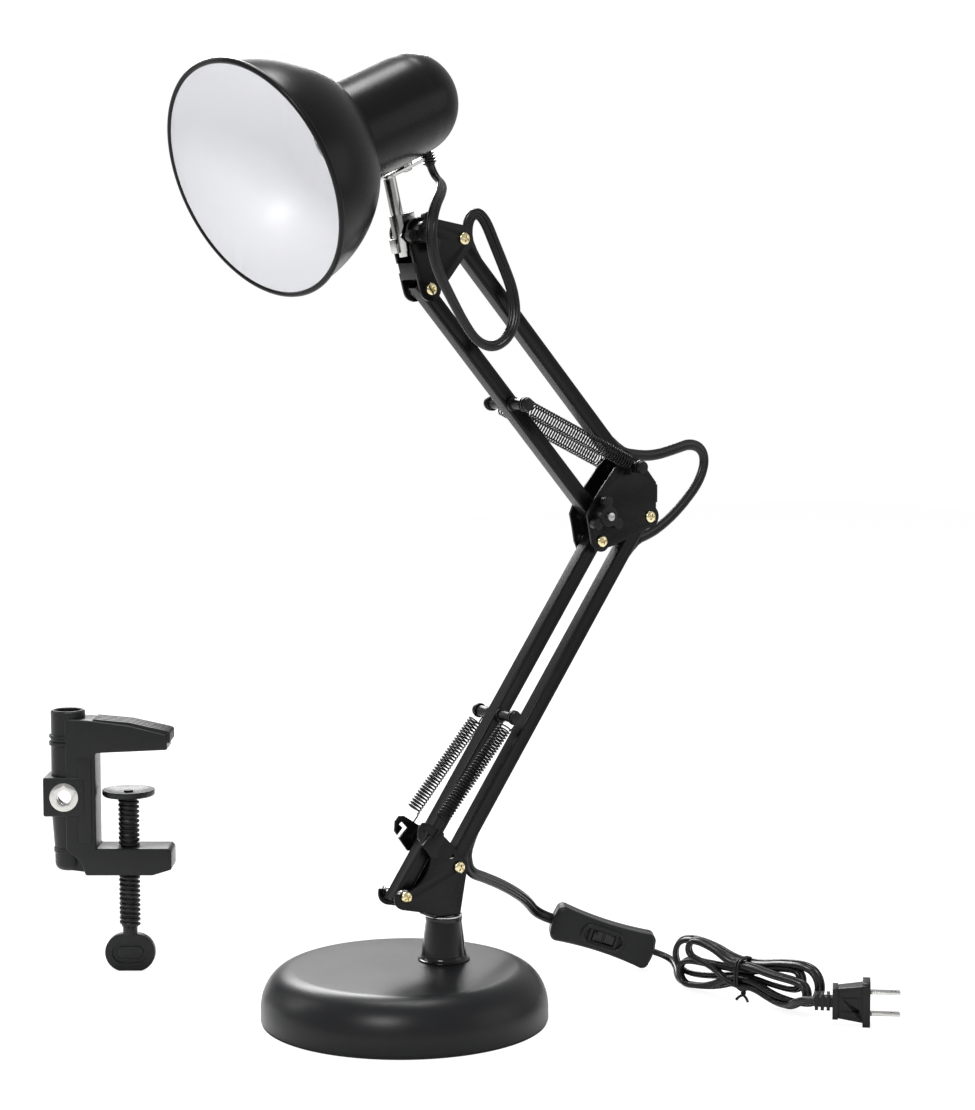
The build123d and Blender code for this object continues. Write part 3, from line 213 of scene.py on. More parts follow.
def castIron(name, colour):
    iron = Finish(name, colour, 0.75, 0.6)
    grain = iron.noise(900.0, 5.0)
    iron.tint(grain, 0.7, 1.3)
    iron.set("Roughness", 0.7 + (grain - 0.5) * 0.3)
    iron.bump(grain, 0.0002)
    return iron.material


finishes = {
    "satin_dark": sprayedPaint("satinCharcoal", (0.010, 0.0103, 0.0115), 0.34, 0.08, 0.00003, 0.0, 0.24),
    "gloss_black": sprayedPaint("glossBlack", (0.005, 0.005, 0.0055), 0.16, 0.05, 0.00001, 0.1, 0.3),
    "black_metal": sprayedPaint("blackEnamel", (0.0036, 0.0036, 0.0039), 0.28, 0.07, 0.00002, 0.0, 0.18),
    "zinc": platedMetal("zincPlate", (0.50, 0.50, 0.49), 0.20, "z"),
    "brass": platedMetal("brassScrew", (0.80, 0.71, 0.44), 0.20, "x"),
    "black_plastic": mouldedPlastic("blackNylon", (0.005, 0.005, 0.0054), 0.34, 0.00003, 0.24),
    "dark_plastic": mouldedPlastic("greyMoulding", (0.008, 0.0084, 0.009), 0.38, 0.00004, 0.26),
    "iron": castIron("castWeight", (0.09, 0.09, 0.09)),
    "pad": mouldedPlastic("foamPad", (0.012, 0.012, 0.012), 0.85, 0.0002),
    "cord": vinylJacket("vinylCord", (0.005, 0.005, 0.0052)),
    "ceramic": mouldedPlastic("paleSocket", (0.74, 0.72, 0.66), 0.35, 0.00002),
    "nickel": platedMetal("nickelBlade", (0.56, 0.55, 0.53), 0.16, "y", 0.06),
}
shadeInside = glossEnamel("whiteEnamel", (0.80, 0.802, 0.826), 0.42)
for node, thing in frame["nodes"].items():
    thing.data.materials.clear()
    thing.data.materials.append(finishes[slotOf[node]])
print("finishes made", len(finishes))


# Mesh helpers
def addObject(name, mesh, slotName=None):
    thing = bpy.data.objects.new(name, mesh)
    scene.collection.objects.link(thing)
    if slotName:
        mesh.materials.clear()
        mesh.materials.append(finishes[slotName])
    return thing


def finishMesh(work, name, slotName, sharpAngle=32.0, outward=True):
    bmesh.ops.remove_doubles(work, verts=work.verts, dist=1e-6)
    if outward:
        bmesh.ops.recalc_face_normals(work, faces=work.faces)
    mesh = bpy.data.meshes.new(name)
    work.to_mesh(mesh)
    work.free()
    mesh.shade_smooth()
    mesh.set_sharp_from_angle(angle=radians(sharpAngle))
    return addObject(name, mesh, slotName)


def seat(piece, node):
    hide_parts(node)
    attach(piece, bodyOf[node])


def metres(points):
    return [Vector(point) * millimetre for point in points]


def stitch(work, rings):
    sides = len(rings[0])
    for low, high in zip(rings, rings[1:]):
        for index in range(sides):
            after = (index + 1) % sides
            work.faces.new((low[index], low[after], high[after], high[index]))
    work.faces.new(list(reversed(rings[0])))
    work.faces.new(rings[-1])


def carve(piece, tool, operation):
    modifier = piece.modifiers.new("carve", "BOOLEAN")
    modifier.object = tool
    modifier.operation = operation
    modifier.solver = "EXACT"
    mesh = bpy.data.meshes.new_from_object(piece.evaluated_get(bpy.context.evaluated_depsgraph_get()))
    piece.modifiers.clear()
    piece.data = mesh
    bpy.data.objects.remove(tool)


def axes(origin, along, across):
    along = Vector(along).normalized()
    across = (Vector(across) - along * along.dot(Vector(across))).normalized()
    return Matrix.Translation(Vector(origin)) @ Matrix((across, along.cross(across), along)).transposed().to_4x4()


def arc(centre, radii, start, end, count):
    turns = [radians(start + (end - start) * index / count) for index in range(count + 1)]
    return [(centre[0] + radii[0] * cos(turn), centre[1] + radii[1] * sin(turn)) for turn in turns]


def lathe(name, profile, slotName, place=Matrix.Identity(4), steps=128, closed=True):
    work = bmesh.new()
    turns = [2 * pi * index / steps for index in range(steps)]
    rings = []
    for radius, height in profile:
        radius, height = radius * millimetre, height * millimetre
        around = [(radius * cos(t), radius * sin(t), height) for t in turns] if radius > 1e-7 else [(0, 0, height)]
        rings.append([work.verts.new(place @ Vector(corner)) for corner in around])
    pairs = list(zip(rings, rings[1:]))
    if closed:
        pairs.append((rings[-1], rings[0]))
    for low, high in pairs:
        if len(low) == 1 and len(high) == 1:
            continue
        for index in range(steps):
            after = (index + 1) % steps
            if len(low) == 1:
                work.faces.new((low[0], high[index], high[after]))
            elif len(high) == 1:
                work.faces.new((low[index], low[after], high[0]))
            else:
                work.faces.new((low[index], low[after], high[after], high[index]))
    return finishMesh(work, name, slotName)


def softened(node, width):
    work = bmesh.new()
    work.from_mesh(frame["nodes"][node].data)
    bmesh.ops.remove_doubles(work, verts=work.verts, dist=2e-6)
    bmesh.ops.dissolve_limit(work, angle_limit=radians(0.6), verts=work.verts, edges=work.edges)
    edges = [edge for edge in work.edges if edge.is_manifold and edge.calc_face_angle() > radians(32)]
    bmesh.ops.bevel(work, geom=edges, offset=width * millimetre, segments=2, profile=0.6, affect="EDGES",
                    clamp_overlap=True)
    first, *others = node.split("_")
    piece = finishMesh(work, first + "".join(word.title() for word in others), slotOf[node], outward=False)
    seat(piece, node)
    return piece


# Routes: a smooth line through the cord's own control points
def smoothLine(points, steps=10):
    data = bpy.data.curves.new("route", "CURVE")
    data.dimensions = "3D"
    spline = data.splines.new("NURBS")
    spline.points.add(len(points) - 1)
    for control, place in zip(spline.points, points):
        control.co = (*place, 1.0)
    spline.order_u = 3
    spline.use_endpoint_u = True
    spline.resolution_u = steps
    holder = bpy.data.objects.new("route", data)
    mesh = bpy.data.meshes.new_from_object(holder)
    line = [vertex.co.copy() for vertex in mesh.vertices]
    bpy.data.objects.remove(holder)
    bpy.data.meshes.remove(mesh)
    return line


def carried(line, across, endAcross=None):
    side = Vector(across)
    frames = []
    for index, place in enumerate(line):
        ahead = (line[min(index + 1, len(line) - 1)] - line[max(index - 1, 0)]).normalized()
        side = (side - ahead * ahead.dot(side)).normalized()
        frames.append((place, ahead, side.copy()))
    if endAcross is None:
        return frames
    place, ahead, side = frames[-1]
    wanted = (Vector(endAcross) - ahead * ahead.dot(Vector(endAcross))).normalized()
    if side.dot(wanted) < 0:
        wanted.negate()
    twist = side.angle(wanted) * (1 if side.cross(wanted).dot(ahead) > 0 else -1)
    last = len(frames) - 1
    return [(place, ahead, Matrix.Rotation(twist * index / last, 3, ahead) @ side)
            for index, (place, ahead, side) in enumerate(frames)]


def sweepLine(work, line, section, across, endAcross=None):
    rings = []
    for place, ahead, side in carried(line, across, endAcross):
        up = ahead.cross(side)
        rings.append([work.verts.new(place + side * x + up * y) for x, y in section])
    stitch(work, rings)


def roundSection(radius, sides=8):
    return [(radius * cos(2 * pi * index / sides), radius * sin(2 * pi * index / sides)) for index in range(sides)]


def twinSection(plan):
    radius = plan["thickness"] / 2
    offset = plan["width"] / 2 - radius
    right = arc((offset, 0), (radius, radius), -plan["coreArc"], plan["coreArc"], plan["coreSteps"])
    left = [(-x, -y) for x, y in right]
    return right + left


# Flat twin cord: two round cores that meet in a groove
cord = {
    "width": 0.0068,
    "thickness": 0.0034,
    "coreArc": 138,
    "coreSteps": 14,
    "grooveAngle": 36.0,
}


def cordPiece(name, route, across, endAcross=None, steps=10):
    line = smoothLine(route, steps)
    work = bmesh.new()
    sweepLine(work, line, twinSection(cord), across, endAcross)
    piece = finishMesh(work, name, "cord", cord["grooveAngle"])
    length = sum((after - before).length for before, after in zip(line, line[1:]))
    return piece, line, length


def splitRoute(route, places):
    cuts = [(route[place] + route[place + 1]) / 2 for place in places]
    starts = [-1] + list(places)
    ends = list(places) + [len(route) - 1]
    stretches = []
    for index, (start, end) in enumerate(zip(starts, ends)):
        before = [cuts[index - 1]] if index else []
        after = [cuts[index]] if index < len(cuts) else []
        stretches.append(before + route[start + 1:end + 1] + after)
    return stretches


headLoop = {
    "mouth": (44.88, 0.0, 458.2),
    "mouthDirection": (-0.075, 0.0, 0.9972),
    "reliefEnd": (22.53, 5.16, 499.44),
    "reliefDirection": (0.3908, 0.0612, -0.9184),
    "route": [
        (49.4, -1.5, 473.4), (54.8, -3.5, 468.6), (59.3, -6.5, 455.0), (64.2, -9.5, 441.0),
        (68.6, -12.0, 427.6), (69.4, -14.0, 412.4), (63.6, -15.2, 400.2), (52.6, -16.0, 394.0),
        (40.6, -17.2, 397.0), (30.0, -19.2, 407.8), (18.2, -22.4, 423.0), (7.4, -25.0, 438.0),
        (2.6, -26.4, 452.4), (3.2, -25.8, 465.2), (9.2, -20.6, 475.4), (18.6, -11.8, 482.6), (25.6, -2.6, 488.6),
    ],
    "cuts": (7, 13),
    "flatSides": (None, (1, 0, 0), None),
    "bodies": (("upper_link_arm", "top"), ("top", "head_yoke"), ("head_yoke", "head")),
}
elbowLoop = {
    "mouth": (162.36, 0.0, 329.09),
    "mouthDirection": (0.9857, 0.0, -0.1685),
    "farMouth": (172.95, 0.0, 276.66),
    "farDirection": (0.9563, 0.0, 0.2924),
    "route": [
        (184.0, -0.4, 327.4), (199.4, -0.8, 331.0), (212.4, 0, 334.2), (222.4, 0.6, 330.6),
        (225.2, 0.8, 321.8), (220.4, 0.6, 310.2), (210.6, 0.2, 299.8), (200.0, 0, 290.6), (190.4, -0.2, 284.2),
    ],
    "cuts": (5,),
    "flatSides": (None, None),
    "bodies": (("upper_link_arm", "elbow"), ("elbow", "lower_link_arm")),
}
switchLead = {
    "mouth": (44.14, 0.0, 92.71),
    "mouthDirection": (0.0523, 0.0, -0.9986),
    "switchEnd": (137.0, 42.0, 33.5),
    "switchDirection": (-0.8019, 0.5049, 0.3193),
    "route": [(49.5, 1.8, 80.6), (60.0, 6.6, 76.4), (77.0, 14.9, 69.0), (95.9, 24.5, 59.4), (113.0, 35.6, 49.6)],
    "cuts": (4,),
    "flatSides": (None, None),
    "bodies": (("lower_link_arm", "post"), ("post", "base")),
}


def bendingCord(name, node, route, plan, across):
    made = []
    for index, (stretch, pair) in enumerate(zip(splitRoute(route, plan["cuts"]), plan["bodies"])):
        turned = plan["flatSides"][index]
        piece, line, length = cordPiece(f"{name}{index + 1}", stretch, across, turned)
        across = carried(line, across, turned)[-1][2]
        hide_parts(node)
        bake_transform(piece)
        made.append((piece, line, length))
    return made


def endedRoute(plan, start, startDirection, startRun, end, endDirection, endRun):
    first = Vector(plan[start])
    last = Vector(plan[end])
    return metres([first, first + Vector(plan[startDirection]) * startRun] + plan["route"]
                  + [last + Vector(plan[endDirection]) * endRun, last])


headRoute = endedRoute(headLoop, "mouth", "mouthDirection", 8.5, "reliefEnd", "reliefDirection", 6.2)
elbowRoute = endedRoute(elbowLoop, "mouth", "mouthDirection", 9.0, "farMouth", "farDirection", 9.0)
leadRoute = endedRoute(switchLead, "mouth", "mouthDirection", 6.5, "switchEnd", "switchDirection", 10.0)
bendingCord("headCord", "head_cord_loop", headRoute, headLoop, (1, 0, 0))
bendingCord("elbowCord", "elbow_cord_loop", elbowRoute, elbowLoop, (0, 0, 1))
bendingCord("leadCord", "cord_lead", leadRoute, switchLead, (1, 0, 0))


def rodCord(name, node, body, route):
    piece, line, length = cordPiece(name, metres(route), (1, 0, 0.3), steps=6)
    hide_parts(node)
    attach(piece, body)


rodCord("upperRodCord", "cord_in_upper_rod", "upper_link_arm",
        [(162.36, 0.0, 329.09), (150.36, 0.0, 331.14), (45.8, 0.0, 446.05), (44.88, 0.0, 458.2)])
rodCord("lowerRodCord", "cord_in_lower_rod", "lower_link_arm",
        [(44.14, 0.0, 92.71), (43.51, 0.0, 104.88), (161.3, 0.0, 273.1), (172.95, 0.0, 276.66)])
print("arm cords laid")

# The cord from the switch through the hank to the plug is one line
hank = {
    "left": (175.0, -29.0, 0.0),
    "right": (205.0, -137.0, 0.0),
    "outer": 14.4,
    "inner": 8.5,
    "wideWaist": 6.6,
    "narrowWaist": 2.2,
    "layer": 3.45,
    "floorGap": 2.6,
    "flatSide": (-0.5340, -0.8450, 0.0),
    "turnInset": 2.5,
    "turnEase": 0.925,
    "switchEnd": (191.0, 8.0, 12.0),
    "switchDirection": (0.8019, -0.5049, -0.3193),
    "plugStart": (193.3, -142.3, 13.5),
    "plugDirection": (-0.7396, 0.6730, 0.0),
    "lead": [(198.8, -4.0, 7.2), (194.6, -14.0, 4.8), (187.8, -23.0, 3.4), (181.6, -34.0, 2.7)],
    "tail": [(191.8, -103.0, 6.6), (192.8, -111.2, 4.8), (191.8, -119.8, 5.2), (189.8, -127.4, 7.8),
             (188.2, -133.6, 11.2)],
}


def hankAxes(plan):
    left = Vector(plan["left"])
    span = Vector(plan["right"]) - left
    along = span.normalized()
    return left, along, along.cross(Vector((0, 0, 1))), plan["outer"] + plan["floorGap"], span.length


def hankRoute(plan):
    left, along, layerWay, height, length = hankAxes(plan)
    ease = plan["turnEase"]
    outer, inner, wide, narrow = (plan[key] for key in ("outer", "inner", "wideWaist", "narrowWaist"))
    front = plan["layer"]
    back = -plan["layer"]
    near = outer + plan["turnInset"]
    far = length - near

    def at(x, y, z):
        return left + along * x + Vector((0, 0, height + y)) + layerWay * z

    # Each row is one run: its height at the start, waist and end, its layer at both ends, its heading and how far
    # its first turn is pulled out
    runs = [
        (-outer, -wide, -outer * 0.86, back, back, 1, 0.0),
        (outer * 0.80, wide, outer * 1.02, back, back * 1.25, -1, 0.5),
        (-inner * 0.9, -narrow, -inner * 0.55, back, back * 0.6, 1, 3.0),
        (inner * 0.95, narrow, inner * 0.35, back, front * 0.5, -1, -6.5),
        (-outer * 0.92, -narrow, -inner * 1.25, front * 0.7, front, 1, -1.5),
        (inner * 0.35, wide, outer * 1.16, front * 1.15, front * 1.3, -1, 1.5),
        (inner * 0.62, -wide, -outer, front * 1.5, front, 1, -7.5),
    ]
    points = []
    for index, (startY, waistY, endY, startZ, endZ, heading, pull) in enumerate(runs):
        startX, endX = (near, far) if heading > 0 else (far, near)
        middle = (startX + endX) / 2
        startX -= heading * pull
        reach = middle - startX
        if index:
            beforeY = runs[index - 1][2]
            radius = abs(startY - beforeY) / 2
            centre = (startY + beforeY) / 2
            for angle in (-45, 0, 45):
                turn = radians(angle)
                way = 1 if startY > beforeY else -1
                points.append(at(startX - heading * radius * cos(turn) / ease,
                                 centre + way * radius * sin(turn) / ease, startZ))
        points.append(at(startX, startY, startZ))
        points.append(at(startX + reach * 0.42, startY + (waistY - startY) * 0.30, startZ))
        points.append(at(startX + reach * 0.74, startY + (waistY - startY) * 0.90, startZ * 0.6 + endZ * 0.4))
        points.append(at(middle, waistY, (startZ + endZ) / 2))
        if index == len(runs) - 1:
            points.append(at(middle + 10.0, waistY, endZ))
            break
        endX += heading * runs[index + 1][6]
        reach = endX - middle
        points.append(at(middle + reach * 0.26, endY + (waistY - endY) * 0.90, startZ * 0.4 + endZ * 0.6))
        points.append(at(middle + reach * 0.58, endY + (waistY - endY) * 0.30, endZ))
        points.append(at(endX, endY, endZ))
    return points


def makeFloorCord(plan):
    start = Vector(plan["switchEnd"])
    plug = Vector(plan["plugStart"])
    route = [start, start + Vector(plan["switchDirection"]) * 7.0] + plan["lead"] + hankRoute(plan)
    route += plan["tail"] + [plug + Vector(plan["plugDirection"]) * 6.0, plug]
    piece, line, length = cordPiece("floorCord", metres(route), plan["flatSide"], steps=8)
    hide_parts("cord_to_hank", "cord_hank", "cord_to_plug")
    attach(piece, "base")
    print("floor cord", round(length, 3), "m")


makeFloorCord(hank)

# Wire tie round the waist of the hank, its two ends twisted together below it
tie = {
    "halfHeight": 9.6,
    "halfDepth": 8.6,
    "wireRadius": 0.85,
    "endLength": 6.5,
    "endSpread": 4.2,
    "startSpread": 0.6,
    "ring": [(0.25, -1.0), (1.0, -0.62), (1.0, 0.0), (1.0, 0.62), (0.62, 1.0), (0.0, 1.0), (-0.62, 1.0),
             (-1.0, 0.62), (-1.0, 0.0), (-1.0, -0.62), (-0.62, -1.0), (0.0, -1.0)],
}


def makeTie(plan):
    left, along, layerWay, height, length = hankAxes(hank)
    middle = left + along * length / 2
    middle.z = height
    high, deep, narrow = plan["halfHeight"], plan["halfDepth"], plan["startSpread"]
    foot = middle - Vector((0, 0, high))
    work = bmesh.new()
    for side in (-1, 1):
        route = [middle + layerWay * deep * z + Vector((0, 0, high * y)) + along * side * 0.9
                 for z, y in plan["ring"]]
        for share, way in ((0.35, -1), (0.7, 1), (1.0, 1)):
            spread = along * side * (narrow + (plan["endSpread"] - narrow) * share) * way
            route.append(foot + spread + layerWay * (2.0 * share) - Vector((0, 0, plan["endLength"] * share)))
        sweepLine(work, smoothLine(metres(route), 6), roundSection(plan["wireRadius"] * millimetre), along)
    seat(finishMesh(work, "wireTie", "black_plastic", 50.0), "twist_tie")


makeTie(tie)


# Turned pieces: bell, housing, base and collar
bell = {
    "rim": (-106.2, -15.0, 484.7),
    "back": (0.907388, 0.142093, 0.395546),
    "down": (0.390783, 0.061195, -0.918446),
    "radius": 67.0,
    "depth": 73.0,
    "length": 62.0,
    "wall": 1.2,
    "beadRadius": 1.7,
    "beadCentre": 67.1,
    "beadEnd": 3.3,
    "backHole": 14.2,
}
housing = {
    "radius": 30.3,
    "wall": 1.2,
    "domeRadius": 29.7,
    "straightEnd": 122.0,
    "flangeRadius": 33.0,
}
base = {
    "radius": 84.5,
    "skirt": 8.5,
    "shoulder": 19.0,
    "height": 32.0,
    "wall": 1.5,
    "foot": 1.5,
    "postX": 27.5,
    "lipRadius": 0.5,
}
collar = {
    "height": 26.5,
    "topRadius": 11.0,
    "flareRadius": 15.5,
    "bore": 8.08,
    "band": 2.6,
    "round": 0.5,
}


headPlace = axes(Vector(bell["rim"]) * millimetre, bell["back"], bell["down"])


def makeShade(plan):
    reach = degrees(asin(plan["length"] / plan["depth"]))
    start = degrees(asin(plan["beadEnd"] / plan["depth"]))
    inner = (plan["radius"] - plan["wall"], plan["depth"] - plan["wall"])
    innerBack = plan["length"] - plan["wall"]
    innerReach = degrees(asin(innerBack / inner[1]))
    centre = (plan["beadCentre"], plan["beadRadius"])
    outside = arc(centre, (plan["beadRadius"], plan["beadRadius"]), -150, 62, 14)
    outside += arc((0, 0), (plan["radius"], plan["depth"]), start + 0.6, reach - 0.8, 44)
    outside += [(plan["radius"] * cos(radians(reach)) - 0.9, plan["length"]), (plan["backHole"], plan["length"])]
    inside = [(plan["backHole"], innerBack), (inner[0] * cos(radians(innerReach)) - 0.7, innerBack)]
    inside += list(reversed(arc((0, 0), inner, start - 1.6, innerReach - 0.8, 44)))
    shade = lathe("bellShade", outside + inside, "black_metal", headPlace, steps=192)
    shade.data.materials.append(shadeInside)
    axis = headPlace.to_3x3().col[2]
    for face in shade.data.polygons:
        offset = face.center - headPlace.translation
        height = offset.dot(axis)
        radial = offset - axis * height
        wall = face.normal.dot(radial.normalized()) < -0.05 and height > plan["beadEnd"] * 0.3 * millimetre
        back = face.normal.dot(axis) < -0.5 and radial.length < 0.6 * plan["radius"] * millimetre
        if wall or back:
            face.material_index = 1
    seat(shade, "shade")


def makeHousing(plan):
    radius, wall, dome, flange, end = (plan[key] for key in ("radius", "wall", "domeRadius", "flangeRadius",
                                                             "straightEnd"))
    start = bell["length"]
    outside = [(radius - wall, start), (flange - 0.3, start)]
    outside += arc((flange - 0.9, start + 0.9), (0.9, 0.9), -60, 84, 12)
    outside += arc((radius + 1.1, start + 2.9), (1.1, 1.1), 262, 180, 8)
    outside += [(radius, start + 6.0), (radius, end - 9.0), (radius - 0.08, end - 6.0), (radius - 0.28, end - 3.0)]
    outside += arc((0, end), (dome, dome), 0, 90, 44)[:-1] + [(0, end + dome)]
    inside = [(0, end + dome - wall), (dome - wall, end), (radius - wall, end - 1.2)]
    seat(lathe("socketHousing", outside + inside, "black_metal", headPlace, steps=160), "socket_housing")


def makeBase(plan):
    radius, wall, foot, skirt, height, lip = (plan[key] for key in ("radius", "wall", "foot", "skirt", "height",
                                                                    "lipRadius"))
    flat = radius - plan["shoulder"]
    outside = [(radius - wall, foot)] + arc((radius - lip, foot + lip), (lip, lip), -90, 0, 4)
    outside += arc((flat, skirt), (plan["shoulder"], height - skirt), 0, 90, 40)
    outside += [(flat * share, height) for share in (0.8, 0.5, 0.2, 0.0)]
    inside = [(0, height - wall), (flat, height - wall), (radius - wall, skirt)]
    seat(lathe("baseDome", outside + inside, "satin_dark", steps=224), "base_shell")


def makeCollar(plan):
    flare, narrow, small, bore = (plan[key] for key in ("flareRadius", "topRadius", "round", "bore"))
    foot = base["height"]
    top = foot + plan["height"]
    band = top - plan["band"]
    profile = [(bore, foot), (flare - 0.3, foot)]
    profile += arc((flare - small, foot + small), (small, small), -60, 90, 6)
    profile += arc((flare - 0.2, foot + 4.4), (2.0, 3.4), 268, 186, 8)
    profile += [(narrow - 0.35, band), (narrow - 0.1, band + 0.1)]
    profile += arc((narrow - small, top - small), (small, small), 0, 90, 5)
    profile += [(bore + 0.3, top), (bore, top - 0.3)]
    place = Matrix.Translation((base["postX"] * millimetre, 0, 0))
    seat(lathe("postCollar", profile, "gloss_black", place), "post_collar")


makeShade(bell)
makeHousing(housing)
makeBase(base)
makeCollar(collar)
print("turned pieces made")


# Trees of Geometry Nodes, with named inputs
class Geometry(Graph):
    def __init__(self, name, inputs):
        super().__init__(bpy.data.node_groups.new(name, "GeometryNodeTree"))
        self.named = {}
        for title, kind, value in [("Geometry", "NodeSocketGeometry", None)] + inputs:
            socket = self.tree.interface.new_socket(title, in_out="INPUT", socket_type=kind)
            if value is not None:
                socket.default_value = value
            self.named[title] = socket.identifier
        self.tree.interface.new_socket("Geometry", in_out="OUTPUT", socket_type="NodeSocketGeometry")
        self.given = self.tree.nodes.new("NodeGroupInput")

    def input(self, title):
        return Wire(self, self.given.outputs[title])

    def close(self, shape):
        real = self.node("GeometryNodeRealizeInstances", {}, {0: shape})
        painted = self.node("GeometryNodeSetMaterial", {}, {"Geometry": real, "Material": self.input("Material")})
        self.feed(self.tree.nodes.new("NodeGroupOutput").inputs[0], painted)

    def grow(self, start, values):
        holder = addObject("grown", start)
        modifier = holder.modifiers.new("grow", "NODES")
        modifier.node_group = self.tree
        for title, value in values.items():
            modifier[self.named[title]] = value
        grown = bpy.data.meshes.new_from_object(holder.evaluated_get(bpy.context.evaluated_depsgraph_get()))
        bpy.data.objects.remove(holder)
        bpy.data.meshes.remove(start)
        return grown


def windingTree():
    winding = Geometry("woundWire", [
        ("Coil Radius", "NodeSocketFloat", 0.004), ("Length", "NodeSocketFloat", 0.05),
        ("Turns", "NodeSocketFloat", 20.0), ("Steps", "NodeSocketInt", 400),
        ("Wire Radius", "NodeSocketFloat", 0.0005), ("Wire Sides", "NodeSocketInt", 7),
        ("Material", "NodeSocketMaterial", None),
    ])
    radius = winding.input("Coil Radius")
    line = winding.node("GeometryNodeCurveSpiral", {}, {
        "Resolution": winding.input("Steps"), "Rotations": winding.input("Turns"), "Start Radius": radius,
        "End Radius": radius, "Height": winding.input("Length")})
    ring = winding.node("GeometryNodeCurvePrimitiveCircle", {}, {
        "Resolution": winding.input("Wire Sides"), "Radius": winding.input("Wire Radius")})
    winding.close(winding.node("GeometryNodeCurveToMesh", {}, {
        "Curve": line, "Profile Curve": ring, "Fill Caps": True}))
    return winding


winding = windingTree()

# Springs: a close coil between an eye at the pin and an eye or a hook
springs = {
    "coilRadius": 4.0,
    "wireRadius": 0.48,
    "pitch": 1.95,
    "stepsPerTurn": 20,
    "shoulder": 1.6,
    "upper": {
        "start": (74.01, 0.0, 360.73),
        "end": (159.12, 0.0, 321.51),
        "offset": 15.0,
        "startNeck": 2.6,
        "endNeck": 2.6,
        "hook": False,
        "bodies": ("upper_main_arm", "elbow"),
    },
    "lower": {
        "start": (65.55, 0.0, 175.76),
        "end": (5.2, 0.0, 114.0),
        "offset": 15.8,
        "startNeck": 3.0,
        "endNeck": 8.5,
        "hook": True,
        "bodies": ("lower_main_arm", "post"),
    },
}


def bow(y, height, radius, start, end):
    return [(x, y, z) for x, z in arc((0, height), (radius, radius), start, end, 18)]


def makeSpring(name, node, plan, front):
    reach = springs["coilRadius"]
    shoulder = springs["shoulder"]
    wire = springs["wireRadius"]
    start = Vector(plan["start"])
    along = Vector(plan["end"]) - start
    length = along.length
    if plan["hook"]:
        length = sqrt(length ** 2 - reach ** 2)
        along = Matrix.Rotation(-asin(reach / along.length), 3, "Y") @ along
    low = reach + plan["startNeck"]
    high = length - reach - plan["endNeck"]
    turns = round((high - low) / springs["pitch"])
    coil = winding.grow(bpy.data.meshes.new(name), {
        "Coil Radius": reach * millimetre, "Length": (high - low) * millimetre, "Turns": float(turns),
        "Steps": turns * springs["stepsPerTurn"], "Wire Radius": wire * millimetre,
        "Material": finishes["black_metal"]})
    work = bmesh.new()
    work.from_mesh(coil)
    bpy.data.meshes.remove(coil)
    for vertex in work.verts:
        x, y, z = vertex.co
        vertex.co = (-x, -y, z + low * millimetre)
    firstEnd = bow(shoulder, 0, reach, 70, -180) + [
        (-reach, shoulder, low - shoulder), (-reach, shoulder * 0.7, low - shoulder * 0.45), (-reach, 0, low)]
    lastEnd = [(-reach, 0, high), (-reach, -shoulder * 0.7, high + shoulder * 0.45),
               (-reach, -shoulder, high + shoulder)]
    if plan["hook"]:
        lastEnd += [(-reach, -shoulder, length - shoulder), (-reach, -shoulder * 1.4, length - 0.5),
                    (-reach, -shoulder * 2, length), (-reach, -shoulder * 2 - 2.2, length)]
    else:
        lastEnd += bow(-shoulder, length, reach, 180, -80)
    for route in (firstEnd, lastEnd):
        sweepLine(work, metres(route), roundSection(wire * millimetre), (0.3, 1, 0.1))
    place = axes(start * millimetre, along, Vector((0, 1, 0)).cross(along))
    bmesh.ops.transform(work, matrix=place, verts=work.verts)
    side = -1 if front else 1
    for vertex in work.verts:
        vertex.co.y = (vertex.co.y + plan["offset"] * millimetre) * side
    piece = finishMesh(work, name, "black_metal", 60.0)
    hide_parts(node)
    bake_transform(piece)


for level in ("upper", "lower"):
    for front, side in ((True, "front"), (False, "rear")):
        makeSpring(f"{level}Spring{side.title()}", f"{level}_spring_{side}", springs[level], front)
print("springs wound")


# Cross recess screws, set by Geometry Nodes with a random turn each
screws = {
    "radius": 3.5,
    "height": 2.3,
    "rimHeight": 1.05,
    "slotSpan": 2.25,
    "slotHalf": 0.48,
    "slotDepth": 1.35,
    "front": -9.5,
    "seed": 5,
    "sets": [
        ("lowerScrews", "lower_bracket_screws", [(-5.0, 75.0), (32.02, 88.48)]),
        ("elbowScrews", "elbow_screws", [(136.33, 276.84), (173.35, 290.31)]),
        ("topScrews", "top_screws", [(13.17, 427.59), (35.96, 456.87)]),
    ],
    "stripPlace": (33.1, 0.0, 107.0),
    "sharpAngle": 35.0,
}


def screwHead(plan):
    radius = plan["radius"]
    rim = plan["rimHeight"]
    crown = plan["height"] - rim
    profile = [(0, -0.4), (radius * 0.6, -0.4), (radius - 0.15, 0), (radius, 0.15)]
    profile += arc((0, rim), (radius, crown), 2, 88, 12) + [(0, plan["height"])]
    head = lathe("screwHead", profile, "brass", steps=48, closed=False)
    span, half = plan["slotSpan"], plan["slotHalf"]
    cross = [(span, -half), (span, half), (half, half), (half, span), (-half, span), (-half, half), (-span, half),
             (-span, -half), (-half, -half), (-half, -span), (half, -span), (half, -half)]
    work = bmesh.new()
    rings = []
    for height, share in ((plan["height"] + 0.5, 1.12), (plan["height"] - plan["slotDepth"], 0.62)):
        corners = metres((x * share, y * share, height) for x, y in cross)
        rings.append([work.verts.new(corner) for corner in corners])
    stitch(work, rings)
    carve(head, finishMesh(work, "crossCutter", "brass"), "DIFFERENCE")
    return head


